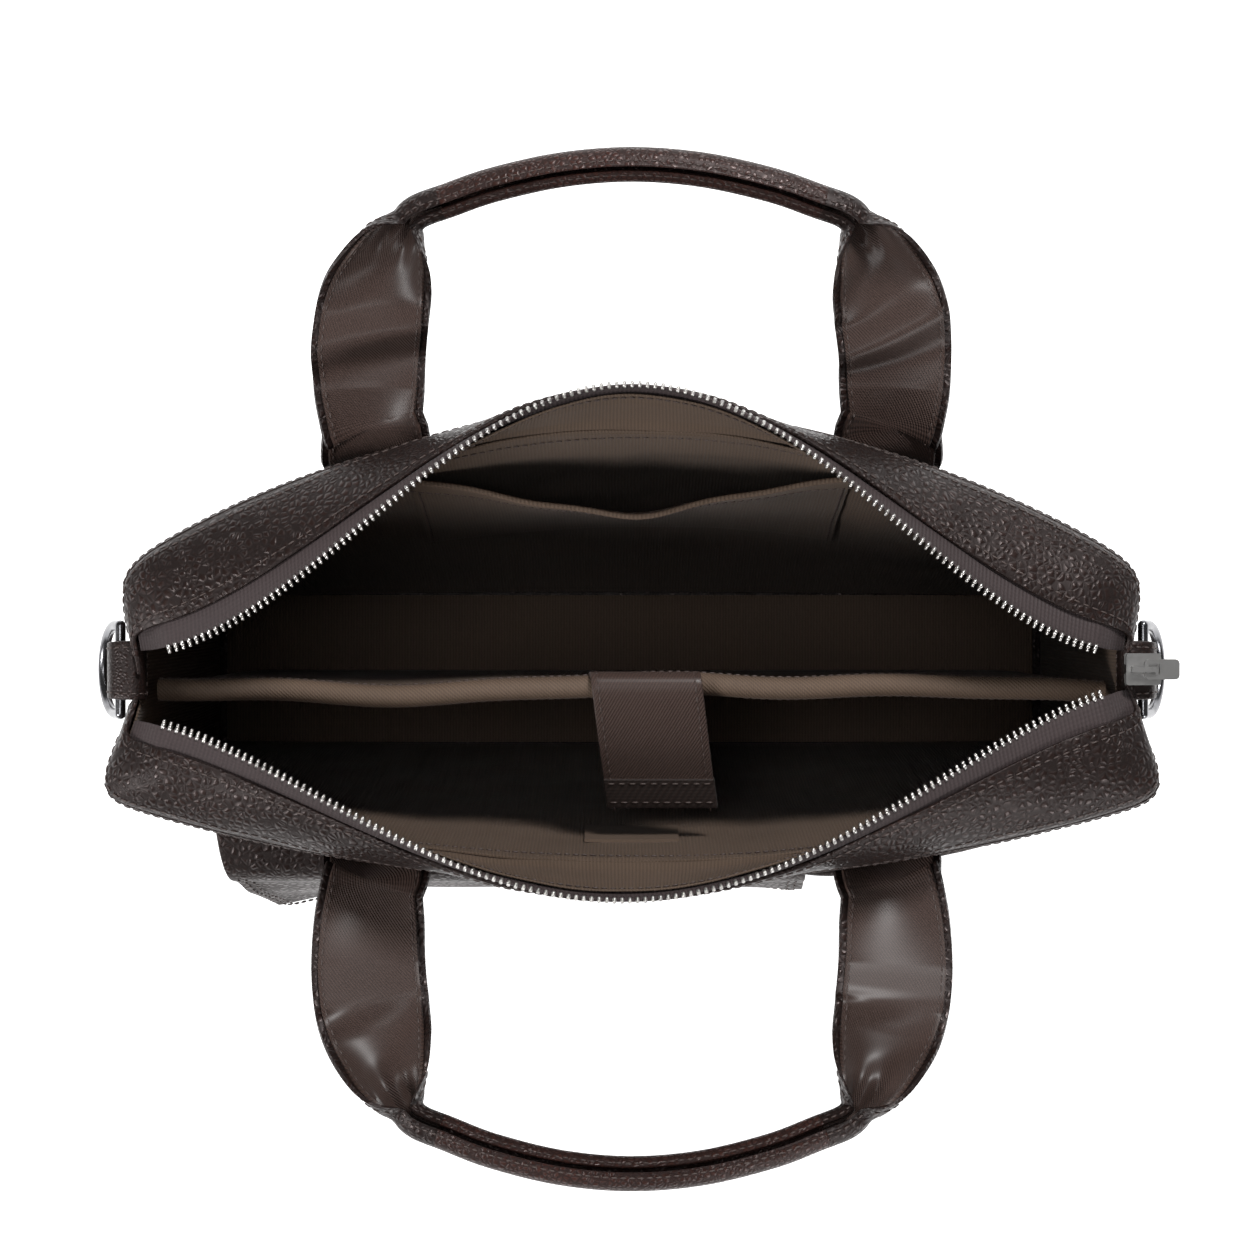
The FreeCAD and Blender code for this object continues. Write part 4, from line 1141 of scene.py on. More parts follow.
def ribbon(name, path, width, thickness, material, side=(1, 0, 0), rows=60, columns=9, shift=None,
           bevel=0.35 * MM):
    """A flat band with a path along its middle; side is its width direction, and shift moves its rows."""
    line = spline(path, rows)
    tangent = unit(np.gradient(line, axis=0))
    side = np.array(side, float)
    up = unit(np.cross(side, tangent))
    across = np.linspace(-0.5, 0.5, columns)[None, :, None]
    width = np.broadcast_to(width, (rows,))[:, None, None]
    middle = line[:, None, :] + side * across * width
    if shift is not None:
        middle = middle + shift[:, None, :]
    up = up[:, None, :]
    return slab(name, middle + up * thickness / 2, middle - up * thickness / 2, material, bevel)


LINING_DEPTH = 5.6 * MM            # from a wall's outer face to where the lining lies on the padding
END_DEPTH = 2.6 * MM
LINING_THICKNESS = 0.8 * MM
LINING_PITCH = 3.0 * MM            # pitch of the finer stitches
STRIP_LINING_LOW, STRIP_LINING_HIGH = -0.08, 0.83
LINING_SEAM_Z = 249.5 * MM


class BRIEFCASE_OT_lining(bpy.types.Operator):
    """Make the cloth lining of the walls, ends, bottom and zip strips"""
    bl_idname = "briefcase.lining"
    bl_label = "Lining"

    def execute(self, context):
        cloth = lining_cloth()
        for name in ("front", "back", "right", "left"):
            first, steps, lap, depth = FIRST[name], END_STEPS, 3, END_DEPTH
            if name in SIDE:
                steps, lap, depth = WALL_STEPS, -1, LINING_DEPTH + 0.9 * MM
            count = (steps + 2 * lap) * 2 + 1
            column, row = spread((first - lap, first + steps + lap), (1.5, WALL_ROWS + 0.5), count, 90)
            base = on_shell(row, column, np.full(row.shape, -depth))
            rise = row / WALL_ROWS
            sag = 1.5 * MM * soft_noise(base * [1.0, 1.0, 0.45], 22.0, 6.0)
            sag = sag + 0.8 * MM * soft_noise(base * [1.0, 1.0, 0.6], 60.0, 2.0)
            sag = sag * np.sin(math.pi * rise * 0.93) * (1.0 if name in SIDE else 0.25)
            behind = on_shell(row, column, sag - depth)
            inside = on_shell(row, column, sag - depth - LINING_THICKNESS)
            sheet = slab(name + "_wall_lining", inside, behind, cloth)
            finish_piece(sheet, "shell", "lining", name + "_lining")
        for face in SIDE:
            u = np.linspace(-0.96, 0.96, 200)[None, :]
            share = np.linspace(0, 1, 18)[:, None]
            lowest = STRIP_LINING_LOW + 0.14 * smooth_step(np.abs(u), 0.55, 0.9)
            across = lowest + (STRIP_LINING_HIGH - lowest) * share
            u, across = np.broadcast_arrays(u, across)
            point, normal, _ = strip_frame(face, u, across)
            depth = np.interp(across, [STRIP_LINING_LOW, 0.12, 0.55, 0.8], [6.8, 4.5, 4.1, 3.1]) * MM
            depth = depth + 0.6 * MM * soft_noise(point, 40.0, 5.0)
            outer = point - normal * depth[..., None]
            inner = outer - normal * LINING_THICKNESS
            finish_piece(slab(face + "_strip_lining", outer, inner, cloth), "shell", "lining",
                         face + "_top_lining")
        lowest, highest = low("bottom_lining"), high("bottom_lining")
        x, y = spread((lowest[0], highest[0]), (lowest[1], highest[1]), 90, 24)
        flat = np.stack([x, y, np.full_like(x, highest[2])], axis=-1)
        flat[..., 2] += 0.35 * MM * soft_noise(flat, 60.0, 4.0)
        under = flat - [0, 0, LINING_THICKNESS]
        finish_piece(slab("bottom_lining_cloth", flat, under, cloth), "shell", "lining", "bottom_lining")
        rows = []
        for face in SIDE:
            u = np.linspace(-0.9, 0.9, 260)
            point, normal, _ = strip_frame(face, u, np.full_like(u, 0.78))
            rows.append((point - normal * 4.3 * MM, -normal))
        x = np.linspace(-150, 150, 260) * MM
        for face in SIDE:
            place, normal = wall_seam(face, x, LINING_SEAM_Z, -LINING_DEPTH - 1.9 * MM)
            rows.append((place, -normal))
        stitch_rows("lining_stitching", rows, "shell", LINING_PITCH)
        return {"FINISHED"}


def swell_pad(item, pressure, cap, frames=20):
    """Blows a closed pad up with a short cloth simulation; no point moves further than cap."""
    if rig.quick():
        return
    scene = bpy.context.scene
    before = np.array([v.co[:] for v in item.data.vertices])
    cloth = item.modifiers.new("stuffing", "CLOTH")
    cloth.settings.use_pressure = True
    cloth.settings.uniform_pressure_force = pressure
    cloth.settings.effector_weights.gravity = 0
    cloth.settings.quality = 5
    cloth.settings.tension_stiffness = cloth.settings.compression_stiffness = 30
    cloth.collision_settings.use_collision = False
    scene.frame_start, scene.frame_end = 1, frames
    cloth.point_cache.frame_end = frames
    for frame_number in range(1, frames + 1):
        scene.frame_set(frame_number)
    graph = bpy.context.evaluated_depsgraph_get()
    moved = item.evaluated_get(graph).to_mesh()
    after = np.array([v.co[:] for v in moved.vertices])
    item.evaluated_get(graph).to_mesh_clear()
    item.modifiers.clear()
    scene.frame_set(1)
    step = after - before
    reach = np.linalg.norm(step, axis=1, keepdims=True)
    step = step * np.minimum(1, cap / np.maximum(reach, 1e-9))
    item.data.vertices.foreach_set("co", (before + step).ravel())
    item.data.update()


PAD_HALF, PAD_PRESSURE, PAD_SWELL = 2.2 * MM, 4.0, 1.3 * MM   # half thickness, and how it is blown up
BINDING_HALF, BINDING_LEG = 3.9 * MM, 9 * MM


def divider_wave(x, z):
    """How far the divider wanders from flat, more towards its top."""
    wave = 1.5 * np.sin(x * 21 + 0.6) + 0.9 * np.sin(x * 47 + 2.0) + 0.5 * np.sin(x * 90)
    return wave * MM * (z / DIVIDER_TOP) ** 2


class BRIEFCASE_OT_divider(bpy.types.Operator):
    """Make the padded divider and the binding over its top"""
    bl_idname = "briefcase.divider"
    bl_label = "Divider"

    def execute(self, context):
        cloth = lining_cloth()
        band = binding_cloth()
        lowest, highest = low("divider_front_cover"), high("divider_back_cover")
        middle = (lowest[1] + highest[1]) / 2
        x, z = spread((lowest[0], highest[0]), (lowest[2] + 0.4 * MM, highest[2]), 72, 50)
        front = np.stack([x, np.full_like(x, middle - PAD_HALF), z], axis=-1)
        back = front + [0, 2 * PAD_HALF, 0]
        pad = slab("divider_pad", front, back, cloth, bevel=0)
        swell_pad(pad, PAD_PRESSURE, PAD_SWELL)
        coords = np.array([v.co[:] for v in pad.data.vertices])
        coords[:, 1] += divider_wave(coords[:, 0], coords[:, 2])
        pad.data.vertices.foreach_set("co", coords.ravel())
        subdivision = pad.modifiers.new("smooth", "SUBSURF")
        subdivision.levels = subdivision.render_levels = 1
        apply_modifiers(pad)
        finish_piece(pad, "shell", "lining", "divider_front_cover", "divider_foam", "divider_back_cover")
        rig.padded(pad, fill=0.5)
        half, leg = BINDING_HALF, BINDING_LEG
        top = high("divider_binding")[2] - half
        arch = [(half * math.sin(a), half * math.cos(a)) for a in np.linspace(-0.5, 0.5, 15) * math.pi]
        section = np.array([(-half, -leg), (-half, -leg / 2)] + arch + [(half, -leg / 2), (half, -leg)])
        along = np.linspace(lowest[0] + 0.5 * MM, highest[0] - 0.5 * MM, 200)
        grid = np.zeros((len(along), len(section), 3))
        grid[..., 0] = along[:, None]
        grid[..., 2] = top + section[None, :, 1]
        grid[..., 1] = middle + section[None, :, 0] + divider_wave(along, DIVIDER_TOP)[:, None]
        normals = grid_normals(grid)
        inwards = -normals * np.sign(normals[100, 9, 2])
        binding = slab("divider_top_binding", grid, grid + inwards * 0.7 * MM, band)
        finish_piece(binding, "shell", "binding", "divider_binding")
        rows = []
        for side in (-1, 1):
            place = np.stack([along, middle + side * (half + 0.1 * MM) + divider_wave(along, DIVIDER_TOP),
                              np.full_like(along, top - leg + 2 * MM)], axis=-1)
            rows.append((place, np.array([0, side, 0])))
        stitch_rows("divider_stitching", rows, "shell", LINING_PITCH)
        return {"FINISHED"}


HEM_ROW, HEM_LIFT, HEM_THICKNESS = 38, 2.5 * MM, 0.6 * MM


class BRIEFCASE_OT_inner_pocket(bpy.types.Operator):
    """Make the slip pocket that hangs open on the back lining"""
    bl_idname = "briefcase.inner_pocket"
    bl_label = "Inner pocket"

    def execute(self, context):
        cloth = lining_cloth()
        lowest, highest = low("inner_pocket"), high("inner_pocket")
        hem_top = high("inner_pocket_binding")[2] - HEM_LIFT
        x, z = spread((lowest[0], highest[0]), (lowest[2], hem_top), 72, 44)
        rise = (z - z.min()) / (z.max() - z.min())
        share = x / highest[0]
        gape = 18 * np.cos(math.pi / 2 * share) + 4.5 * np.exp(-((share + 0.03) / 0.42) ** 2)
        gape = gape * rise ** 1.3 + 0.8 * rise * np.sin(share * 11 + 1) * (1 - share ** 2)
        inner = on_wall("back", x, z, -LINING_DEPTH - 2.2 * MM)
        inner[..., 1] -= gape * MM
        outer = inner - [0, LINING_THICKNESS, 0]
        finish_piece(slab("inner_slip_pocket", outer, inner, cloth), "shell", "lining", "inner_pocket")
        out = unit(outer - inner)
        lift = unit(outer[-1] - outer[-2])[None] * HEM_LIFT
        hem_out = np.concatenate([outer[HEM_ROW:], outer[-1:] + lift])
        hem_in = np.concatenate([inner[HEM_ROW:], inner[-1:] + lift])
        hem_turn = np.concatenate([out[HEM_ROW:], out[-1:]])
        hem = slab("inner_pocket_hem", hem_out + hem_turn * HEM_THICKNESS, hem_in - hem_turn * HEM_THICKNESS,
                   binding_cloth(), bevel=HEM_THICKNESS)
        finish_piece(hem, "shell", "binding", "inner_pocket_binding")
        lines = [(hem_out[1] + hem_turn[1] * 0.7 * MM, hem_turn[1])]
        lines += [(outer[:HEM_ROW, j] + out[:HEM_ROW, j] * 0.1 * MM, out[:HEM_ROW, j]) for j in (1, -2)]
        stitch_rows("inner_pocket_stitching", lines, "shell", LINING_PITCH)
        return {"FINISHED"}


class BRIEFCASE_OT_laptop_strap(bpy.types.Operator):
    """Make the strap that goes over the laptop pocket"""
    bl_idname = "briefcase.laptop_strap"
    bl_label = "Laptop strap"

    def execute(self, context):
        tip = low("laptop_strap")
        width = high("laptop_strap")[0] * 2 - 1 * MM
        path = [(0, 0.9 * MM, 0.2325), (0, 1.4 * MM, 0.2385), (0, -2.5 * MM, 0.2418), (0, -12 * MM, 0.2405),
                (0, -24 * MM, 0.2350), (0, -36 * MM, 0.2280), (0, tip[1], 0.2222)]
        rows = 70
        share = np.linspace(0, 1, rows)
        shift = np.zeros((rows, 3))
        shift[:, 0] = 4 * MM + 7 * MM * share
        shift[:, 2] = 0.4 * MM * np.sin(share * 14)
        strap = ribbon("laptop_strap_webbing", path, width, 1.5 * MM, webbing_material(), rows=rows,
                       columns=15, shift=shift)
        finish_piece(strap, "laptop_strap_body", "webbing", "laptop_strap")
        line = spline(path, rows)
        tangent = unit(np.gradient(line, axis=0))
        up = unit(np.cross((1, 0, 0), tangent))
        up *= np.sign(up[40, 2])
        last = rows - 15
        across = np.linspace(-0.5, 0.5, 9)[None, :, None] * (width + 0.6 * MM) * np.array([1, 0, 0])
        tip_line = (line + shift)[last:, None, :] + across
        lift = up[last:, None, :] * 1.3 * MM
        # Painted shade: the strap's end is covered by a band of webbing darkened to 0.4, for the shade where the end
        # hangs down.
        dark = cloth_material("strap_end_webbing", [c * 0.4 for c in colours().webbing], threads=2600.0,
                              slant=0.7)
        band = slab("laptop_strap_end", tip_line + lift, tip_line - lift, dark, bevel=0.5 * MM)
        finish_piece(band, "laptop_strap_body", "webbing")
        hooks = tip_line[3:-2, 1:-1]
        under = up[last:, None, :][3:-2]
        pile = cloth_material("hook_pile", [c * 0.25 for c in colours().lining], threads=5000.0, contrast=0.9,
                              strength=1.0)
        patch = slab("laptop_strap_hooks", hooks - under * 1.35 * MM, hooks - under * 2.6 * MM, pile)
        finish_piece(patch, "laptop_strap_body", "hook_and_loop", "strap_hook_patch")
        half = width / 2 - 2.4 * MM
        rows_of_stitches = []
        for offset in (-1, 1):
            place = line + shift + np.array([1, 0, 0]) * offset * half + up * 0.85 * MM
            rows_of_stitches.append((place, up))
        for back_step in (3, 12):
            k = rows - 1 - back_step
            span = np.linspace(-1, 1, 30)[:, None] * half
            place = line[k] + shift[k] + np.array([1, 0, 0]) * span + up[k] * 1.4 * MM
            rows_of_stitches.append((place, up[k]))
        stitch_rows("laptop_strap_stitching", rows_of_stitches, "laptop_strap_body")
        return {"FINISHED"}


# ---------------------------------------------------------------- front pocket, flap and strap patches

class BRIEFCASE_OT_front_pocket(bpy.types.Operator):
    """Make the patch pocket on the front wall, its lining and its bound mouth"""
    bl_idname = "briefcase.front_pocket"
    bl_label = "Front pocket"

    def execute(self, context):
        leather = leather_material()
        cloth = lining_cloth()
        thick = sizes().leather
        x_end = high("front_pocket_panel")[0]
        z_low, z_high = low("front_pocket_panel")[2], high("front_pocket_panel")[2]
        snap = (low("snap_plate") + high("snap_plate")) / 2

        def pocket_out(x, z, depth=0.0):
            """How far the pocket stands off the wall: it gapes at its mouth, but not under the flap."""
            share, rise = x / x_end, (z - z_low) / (z_high - z_low)
            full = swell(share, 0.7)
            under_flap = smooth_step(x, -120 * MM, -90 * MM) * smooth_step(-x, -75 * MM, -50 * MM)
            out = (1.4 + 0.9 * full) * (1 - rise) + (3.1 + (7.5 - 4.5 * under_flap) * full) * rise
            out = out + 1.6 * np.exp(-((x - snap[0]) ** 2 + (z - snap[2]) ** 2) / (26 * MM) ** 2)
            edge = np.minimum(smooth_step(1 - np.abs(share), 0, 0.05), smooth_step(rise, 0, 0.06))
            place = np.stack([x, x * 0, z], axis=-1)
            out = out + edge * (1.0 * soft_noise(place, 18.0, 9.0) + 0.4 * soft_noise(place, 50.0, 4.0))
            out = out * (0.35 + 0.65 * np.minimum(1, edge + rise * 0.6))
            return np.maximum(out * MM, BASE_OUT) - depth

        def grid(depth, margin, z_top, columns=110, rows=62):
            """The pocket's face as a grid, inset by a margin at its sides and foot."""
            x, z = spread((margin - x_end, x_end - margin), (z_low + margin, z_top), columns, rows)
            return on_wall("front", x, z, pocket_out(x, z, depth) + BASE_OUT)

        panel = slab("front_pocket_leather", grid(0, 0, z_high), grid(thick, 0, z_high), leather, 0.5 * MM)
        finish_piece(panel, "shell", "leather", "front_pocket_panel")
        lining = slab("front_pocket_cloth", grid(thick + 0.1 * MM, 2 * MM, z_high),
                      grid(thick + 0.8 * MM, 2 * MM, z_high), cloth, 0.2 * MM)
        finish_piece(lining, "shell", "lining", "front_pocket_lining")
        path = grid(1.2 * MM, 0, z_high + 0.5 * MM)[-1]
        normal = wall_normal("front", path[:, 0], z_high)
        turn = np.linspace(0, 1, 13)[:, None, None] * math.pi
        half, leg = 1.9 * MM, 8 * MM
        up = np.array([0, 0, 1.0])
        section = normal[None] * np.cos(turn) * half + up * np.sin(turn) * half
        outer = path[None] + np.concatenate([section[:1] - up * leg, section[:1] - up * leg / 2, section,
                                             section[-1:] - up * leg / 2, section[-1:] - up * leg])
        inward = np.concatenate([normal[None], normal[None], unit(section), -normal[None], -normal[None]])
        band = slab("front_pocket_rim", outer, outer - inward * 0.8 * MM, plain_leather(), 0.25 * MM)
        finish_piece(band, "shell", "binding", "front_pocket_binding")
        lines = [(path + normal * (half + 0.1 * MM) - up * 5.5 * MM, normal)]
        for inset in (2.5 * MM, 6.5 * MM):
            x = np.linspace(-x_end + inset, x_end - inset, 240)
            z = np.full_like(x, z_low + inset)
            lines.append(wall_seam("front", x, z, pocket_out(x, z) + BASE_OUT + 0.1 * MM))
            z = np.linspace(z_low + inset, z_high - 9 * MM, 140)
            for side in (-1, 1):
                x = np.full_like(z, side * (x_end - inset))
                lines.append(wall_seam("front", x, z, pocket_out(x, z) + BASE_OUT + 0.1 * MM))
        stitch_rows("front_pocket_stitching", lines, "shell")
        return {"FINISHED"}


class BRIEFCASE_OT_flap(bpy.types.Operator):
    """Make the flap over the front pocket, with its lining and stitching"""
    bl_idname = "briefcase.flap"
    bl_label = "Pocket flap"

    def execute(self, context):
        leather = leather_material()
        cloth = cloth_material("flap_lining_cloth", [c * 0.6 for c in colours().lining], threads=4200.0)
        lowest, highest = low("pocket_flap"), high("pocket_flap")
        left, right = lowest[0], highest[0]
        corner, radius = 30 * MM, 5 * MM
        hinge_y, face_y = highest[1], lowest[1]
        top, bottom = highest[2], lowest[2]
        columns, rows = 96, 54

        def flap_grid(inset=0.0):
            """The flap's outer face, from the wall over its knee and down, and its normals."""
            x = np.linspace(left + inset, right - inset, columns)
            gap = np.minimum(x - left, right - x)
            cut = np.maximum(corner - gap, 0)
            cut = cut + radius * 0.4 * np.exp(-((gap - corner) / (radius * 1.6)) ** 2)
            end_z = bottom + inset + cut
            share = np.linspace(0, 1, rows)[:, None]
            root = on_wall("front", x, np.full_like(x, top + 9 * MM), np.full_like(x, 1.3 * MM))
            knee_y = np.full_like(x, face_y + 3.5 * MM)
            knee_z = np.full_like(x, top - 3.5 * MM)
            grid = np.zeros((rows, columns, 3))
            bend = 0.22
            t = np.clip(share / bend, 0, 1)
            arch_y = root[:, 1] + (knee_y - root[:, 1]) * (1 - (1 - t) ** 2.0)
            arch_z = root[:, 2] + (knee_z - root[:, 2]) * t ** 1.6
            s = np.clip((share - bend) / (1 - bend), 0, 1)
            near = smooth_step(1 - (x - left) / (60 * MM), 0, 1)
            slant = np.interp(share, [0, bend, 1], [-8, -3, 9]) * MM
            grid[..., 0] = x + near * slant
            drop_z = knee_z + (end_z - knee_z) * s
            lean = np.interp(x, [left, left + 60 * MM, right - 50 * MM, right], [8.5, 1.5, 1.0, 3.0]) * MM
            drop_y = knee_y + (face_y - knee_y) * smooth_step(s, 0, 0.35) - lean * s ** 1.5
            grid[..., 1] = np.where(share < bend, arch_y, drop_y)
            grid[..., 2] = np.where(share < bend, arch_z, drop_z)
            for _ in range(2):
                grid[1:-1] = (grid[:-2] + 2 * grid[1:-1] + grid[2:]) / 4
            normals = -grid_normals(grid)
            normals *= np.where(normals[..., 1:2] + normals[..., 2:3] * -0.2 < 0, 1, -1)
            if normals[rows // 2, columns // 2, 1] > 0:
                normals = -normals
            wave = 0.7 * MM * soft_noise(grid, 24.0, 7.0) * np.clip(share * 3 - 0.6, 0, 1)
            return grid + normals * wave[..., None], normals

        thick = sizes().leather
        outer, normals = flap_grid()
        inner = outer - normals * thick
        flap = slab("front_flap_leather", outer, inner, leather, 0.5 * MM)
        start, end = (0, hinge_y + 4 * MM, top + 6 * MM), (0, hinge_y - 7 * MM, top - 3 * MM)
        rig.blend(flap, "shell", "flap", start=start, end=end)
        finish_piece(flap, None, "leather", "pocket_flap")
        skin, skin_normals = (values[8:] for values in flap_grid(1.5 * MM))
        backing = slab("front_flap_backing", skin - skin_normals * (thick + 0.1 * MM),
                       skin - skin_normals * (thick + 0.8 * MM), cloth, 0.2 * MM)
        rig.blend(backing, "shell", "flap", start=start, end=end)
        finish_piece(backing, None, "lining", "flap_lining")
        lines = []
        for inset in (3.0 * MM, 5.6 * MM):
            line, ups = (np.concatenate([values[10:, 0], values[-1, 1:-1], values[10:, -1][::-1]])
                         for values in flap_grid(inset))
            lines.append((line + ups * 0.1 * MM, ups))
        stitching = stitch_rows("front_flap_stitching", lines, None)
        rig.blend(stitching, "shell", "flap", start=start, end=end)
        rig.slot(stitching, "leather")
        x = np.linspace(left + 4 * MM, right - 4 * MM, 200)
        stitch_rows("front_flap_root_stitching", [wall_seam("front", x, top + 6 * MM, 3.1 * MM)], "shell")
        return {"FINISHED"}


STRAP_X = 90 * MM                         # distance of the handle straps from the middle


class BRIEFCASE_OT_strap_patches(bpy.types.Operator):
    """Make the leather patches where the handle straps are sewn to the walls"""
    bl_idname = "briefcase.strap_patches"
    bl_label = "Strap patches"

    def execute(self, context):
        leather = plain_leather()
        for face in SIDE:
            bottom, top = low(face + "_strap_anchors")[2], high(face + "_strap_anchors")[2] - 10 * MM
            pieces, lines = [], []
            for sign in (-1, 1):
                middle, half = sign * STRAP_X, 21 * MM
                x, z = spread((-half, half), (bottom, top), 25, 30)
                corner = 5 * MM * (np.abs(x) / half) ** 6
                z = z + corner * (1 - (z - bottom) / (top - bottom))
                out = BASE_OUT + 1.7 * MM
                outer = on_wall(face, middle + x, z, np.full(x.shape, out))
                inner = on_wall(face, middle + x, z, np.full(x.shape, BASE_OUT + 0.1 * MM))
                pieces.append(slab("patch", outer, inner, leather, 0.5 * MM))
                inset = 3 * MM
                ring = [(-half + inset, bottom + inset + MM), (half - inset, bottom + inset + MM),
                        (half - inset, top - inset), (-half + inset, top - inset)]
                runs = list(zip(ring, ring[1:] + ring[:1]))
                if top - bottom > 30 * MM:
                    runs += [(ring[0], ring[2]), (ring[1], ring[3])]
                for (x0, z0), (x1, z1) in runs:
                    xs, zs = np.linspace(x0, x1, 40) + middle, np.linspace(z0, z1, 40)
                    lines.append(wall_seam(face, xs, zs, out + 0.1 * MM))
            finish_piece(join(face + "_strap_patches", pieces), "shell", "leather", face + "_strap_anchors")
            stitch_rows(face + "_strap_patch_stitching", lines, "shell")
        return {"FINISHED"}


# The leather's way from inside the zip's end over the rim to the ring, from the ring's bar, in millimetres.
OVER_RIM = [(-9.8, 6.5), (-9.6, 11.5), (-7.2, 14.3), (-3.4, 14.1), (0.6, 12.4), (2.5, 8.8), (2.9, 4.0)]


class BRIEFCASE_OT_ends(bpy.types.Operator):
    """Make the leather over each end of the zip, with the loop that holds the D ring"""
    bl_idname = "briefcase.ends"
    bl_label = "Zip ends and ring loops"

    def execute(self, context):
        leather = plain_leather()
        for end, sign in (("left", -1), ("right", 1)):
            bar = np.array([(low(end + "_dring_tab")[0] + high(end + "_dring_tab")[0]) / 2, 3 * MM, 0.238])
            loop = 2.75 * MM
            around = [(bar[0] + sign * loop * math.cos(a), bar[2] + loop * math.sin(a))
                      for a in (0.0, -0.8, -1.57, -2.35, -math.pi)]
            path = [(bar[0] + sign * x * MM, bar[2] + z * MM) for x, z in OVER_RIM] + around
            path += [(bar[0] - sign * 2.8 * MM, bar[2] + z * MM) for z in (4.2, 8.2)]
            rows = 90
            share = np.linspace(0, 1, rows)
            width = np.interp(share, [0, 0.3, 0.45, 1], [21, 20.5, 19.5, 19.5]) * MM
            points = [(x, bar[1], z) for x, z in path]
            strap = ribbon(end + "_end_loop", points, width, 1.4 * MM, leather, side=(0, 1, 0), rows=rows,
                           columns=13, bevel=0.5 * MM)
            finish_piece(strap, "shell", "leather", end + "_zip_end", end + "_dring_tab")
            line = spline(points, rows)
            tangent = unit(np.gradient(line, axis=0))
            up = np.cross((0, 1, 0), tangent) * -sign
            lines = []
            for offset in (-1, 1):
                upper = slice(2, 56)
                place = line[upper] + np.array([0, 1, 0]) * offset * (width[upper, None] / 2 - 2.2 * MM)
                lines.append((place + up[upper] * 0.8 * MM, up[upper]))
            across = np.linspace(-1, 1, 24)[:, None] * (width[2] / 2 - 2.2 * MM) * np.array([0, 1, 0])
            lines.append((line[3] + across + up[3] * 0.8 * MM, up[3]))
            stitch_rows(end + "_end_loop_stitching", lines, "shell", 2.8 * MM)
        return {"FINISHED"}


# ---------------------------------------------------------------- handles

HANDLE_TILT = math.radians(20)            # how far the open handles lean up from level
PIVOT = {"front": (71.5 * MM, 0.240), "back": (88 * MM, 0.240)}   # turning line: distance out, height
REACH = {"front": 169 * MM, "back": 177 * MM}   # distance of the grips from the bag's middle plane
PIVOT_TO_GRIP = 89                        # the same from the turning line in HANDLE_EDGES, in millimetres
# Outer and inner edge of the right-hand half of a handle, as (x, distance from the turning line),
# from the wall to the middle of the grip.
HANDLE_EDGES = [
    ((109.5, 3), (73, 3)), ((111.5, 14), (72.5, 12)), ((112, 28), (72, 25)), ((110, 42), (70.2, 37)),
    ((105, 55), (68.5, 46)), ((97, 66.5), (68.5, 55)), ((87, 74), (70, 62)), ((77, 78.3), (71, 67.4)),
    ((65, 82.3), (61.3, 71.2)), ((49, 87.3), (46.4, 76.3)), ((25, 92.2), (23.8, 81.2)), ((0, 94), (0, 83))]
CURL_STEPS = np.linspace(0.0, 1.0, 81)    # 0 is a flat strap, 1 is closed round the core
STRAP_LOW = {"front": 0.232, "back": 0.206}   # height of the straps' sewn ends
GRIP_HALF = 66 * MM                       # half the length that may be a rolled grip
GRIP_TAPER = 0.26                         # how much narrower the leather is where it is rolled
TUBE_SHARE = 0.44                         # this much of each half goes round the core; the rest is sewn edge


def curled_section(curl, share, offset):
    """Places across a strap whose sides curl up until they meet over a round core."""
    width = sizes().strap_width * (1 - GRIP_TAPER * curl)
    turn = np.maximum(curl, 0.012) * (math.pi - 0.17) / TUBE_SHARE
    radius = width / turn
    inside = np.clip(share, -TUBE_SHARE, TUBE_SHARE)
    flange = (share - inside) * width
    flange_up = smooth_step(curl, 0.72, 1.0)
    angle = inside * turn
    reach = radius - offset
    x = reach * np.sin(angle) + flange * np.cos(angle) * (1 - flange_up)
    z = radius - reach * np.cos(angle) + flange * np.sin(angle) * (1 - flange_up) + np.abs(flange) * flange_up
    return x, z - radius * curl ** 2


def curl_for(width):
    """How far a strap is curled where it looks this wide from above."""
    share = np.linspace(-0.5, 0.5, 41)[None, :]
    x, _ = curled_section(CURL_STEPS[:, None], share, -sizes().leather)
    seen = np.minimum.accumulate(2 * np.max(np.abs(x), axis=1))
    return np.interp(-width, -seen, CURL_STEPS)


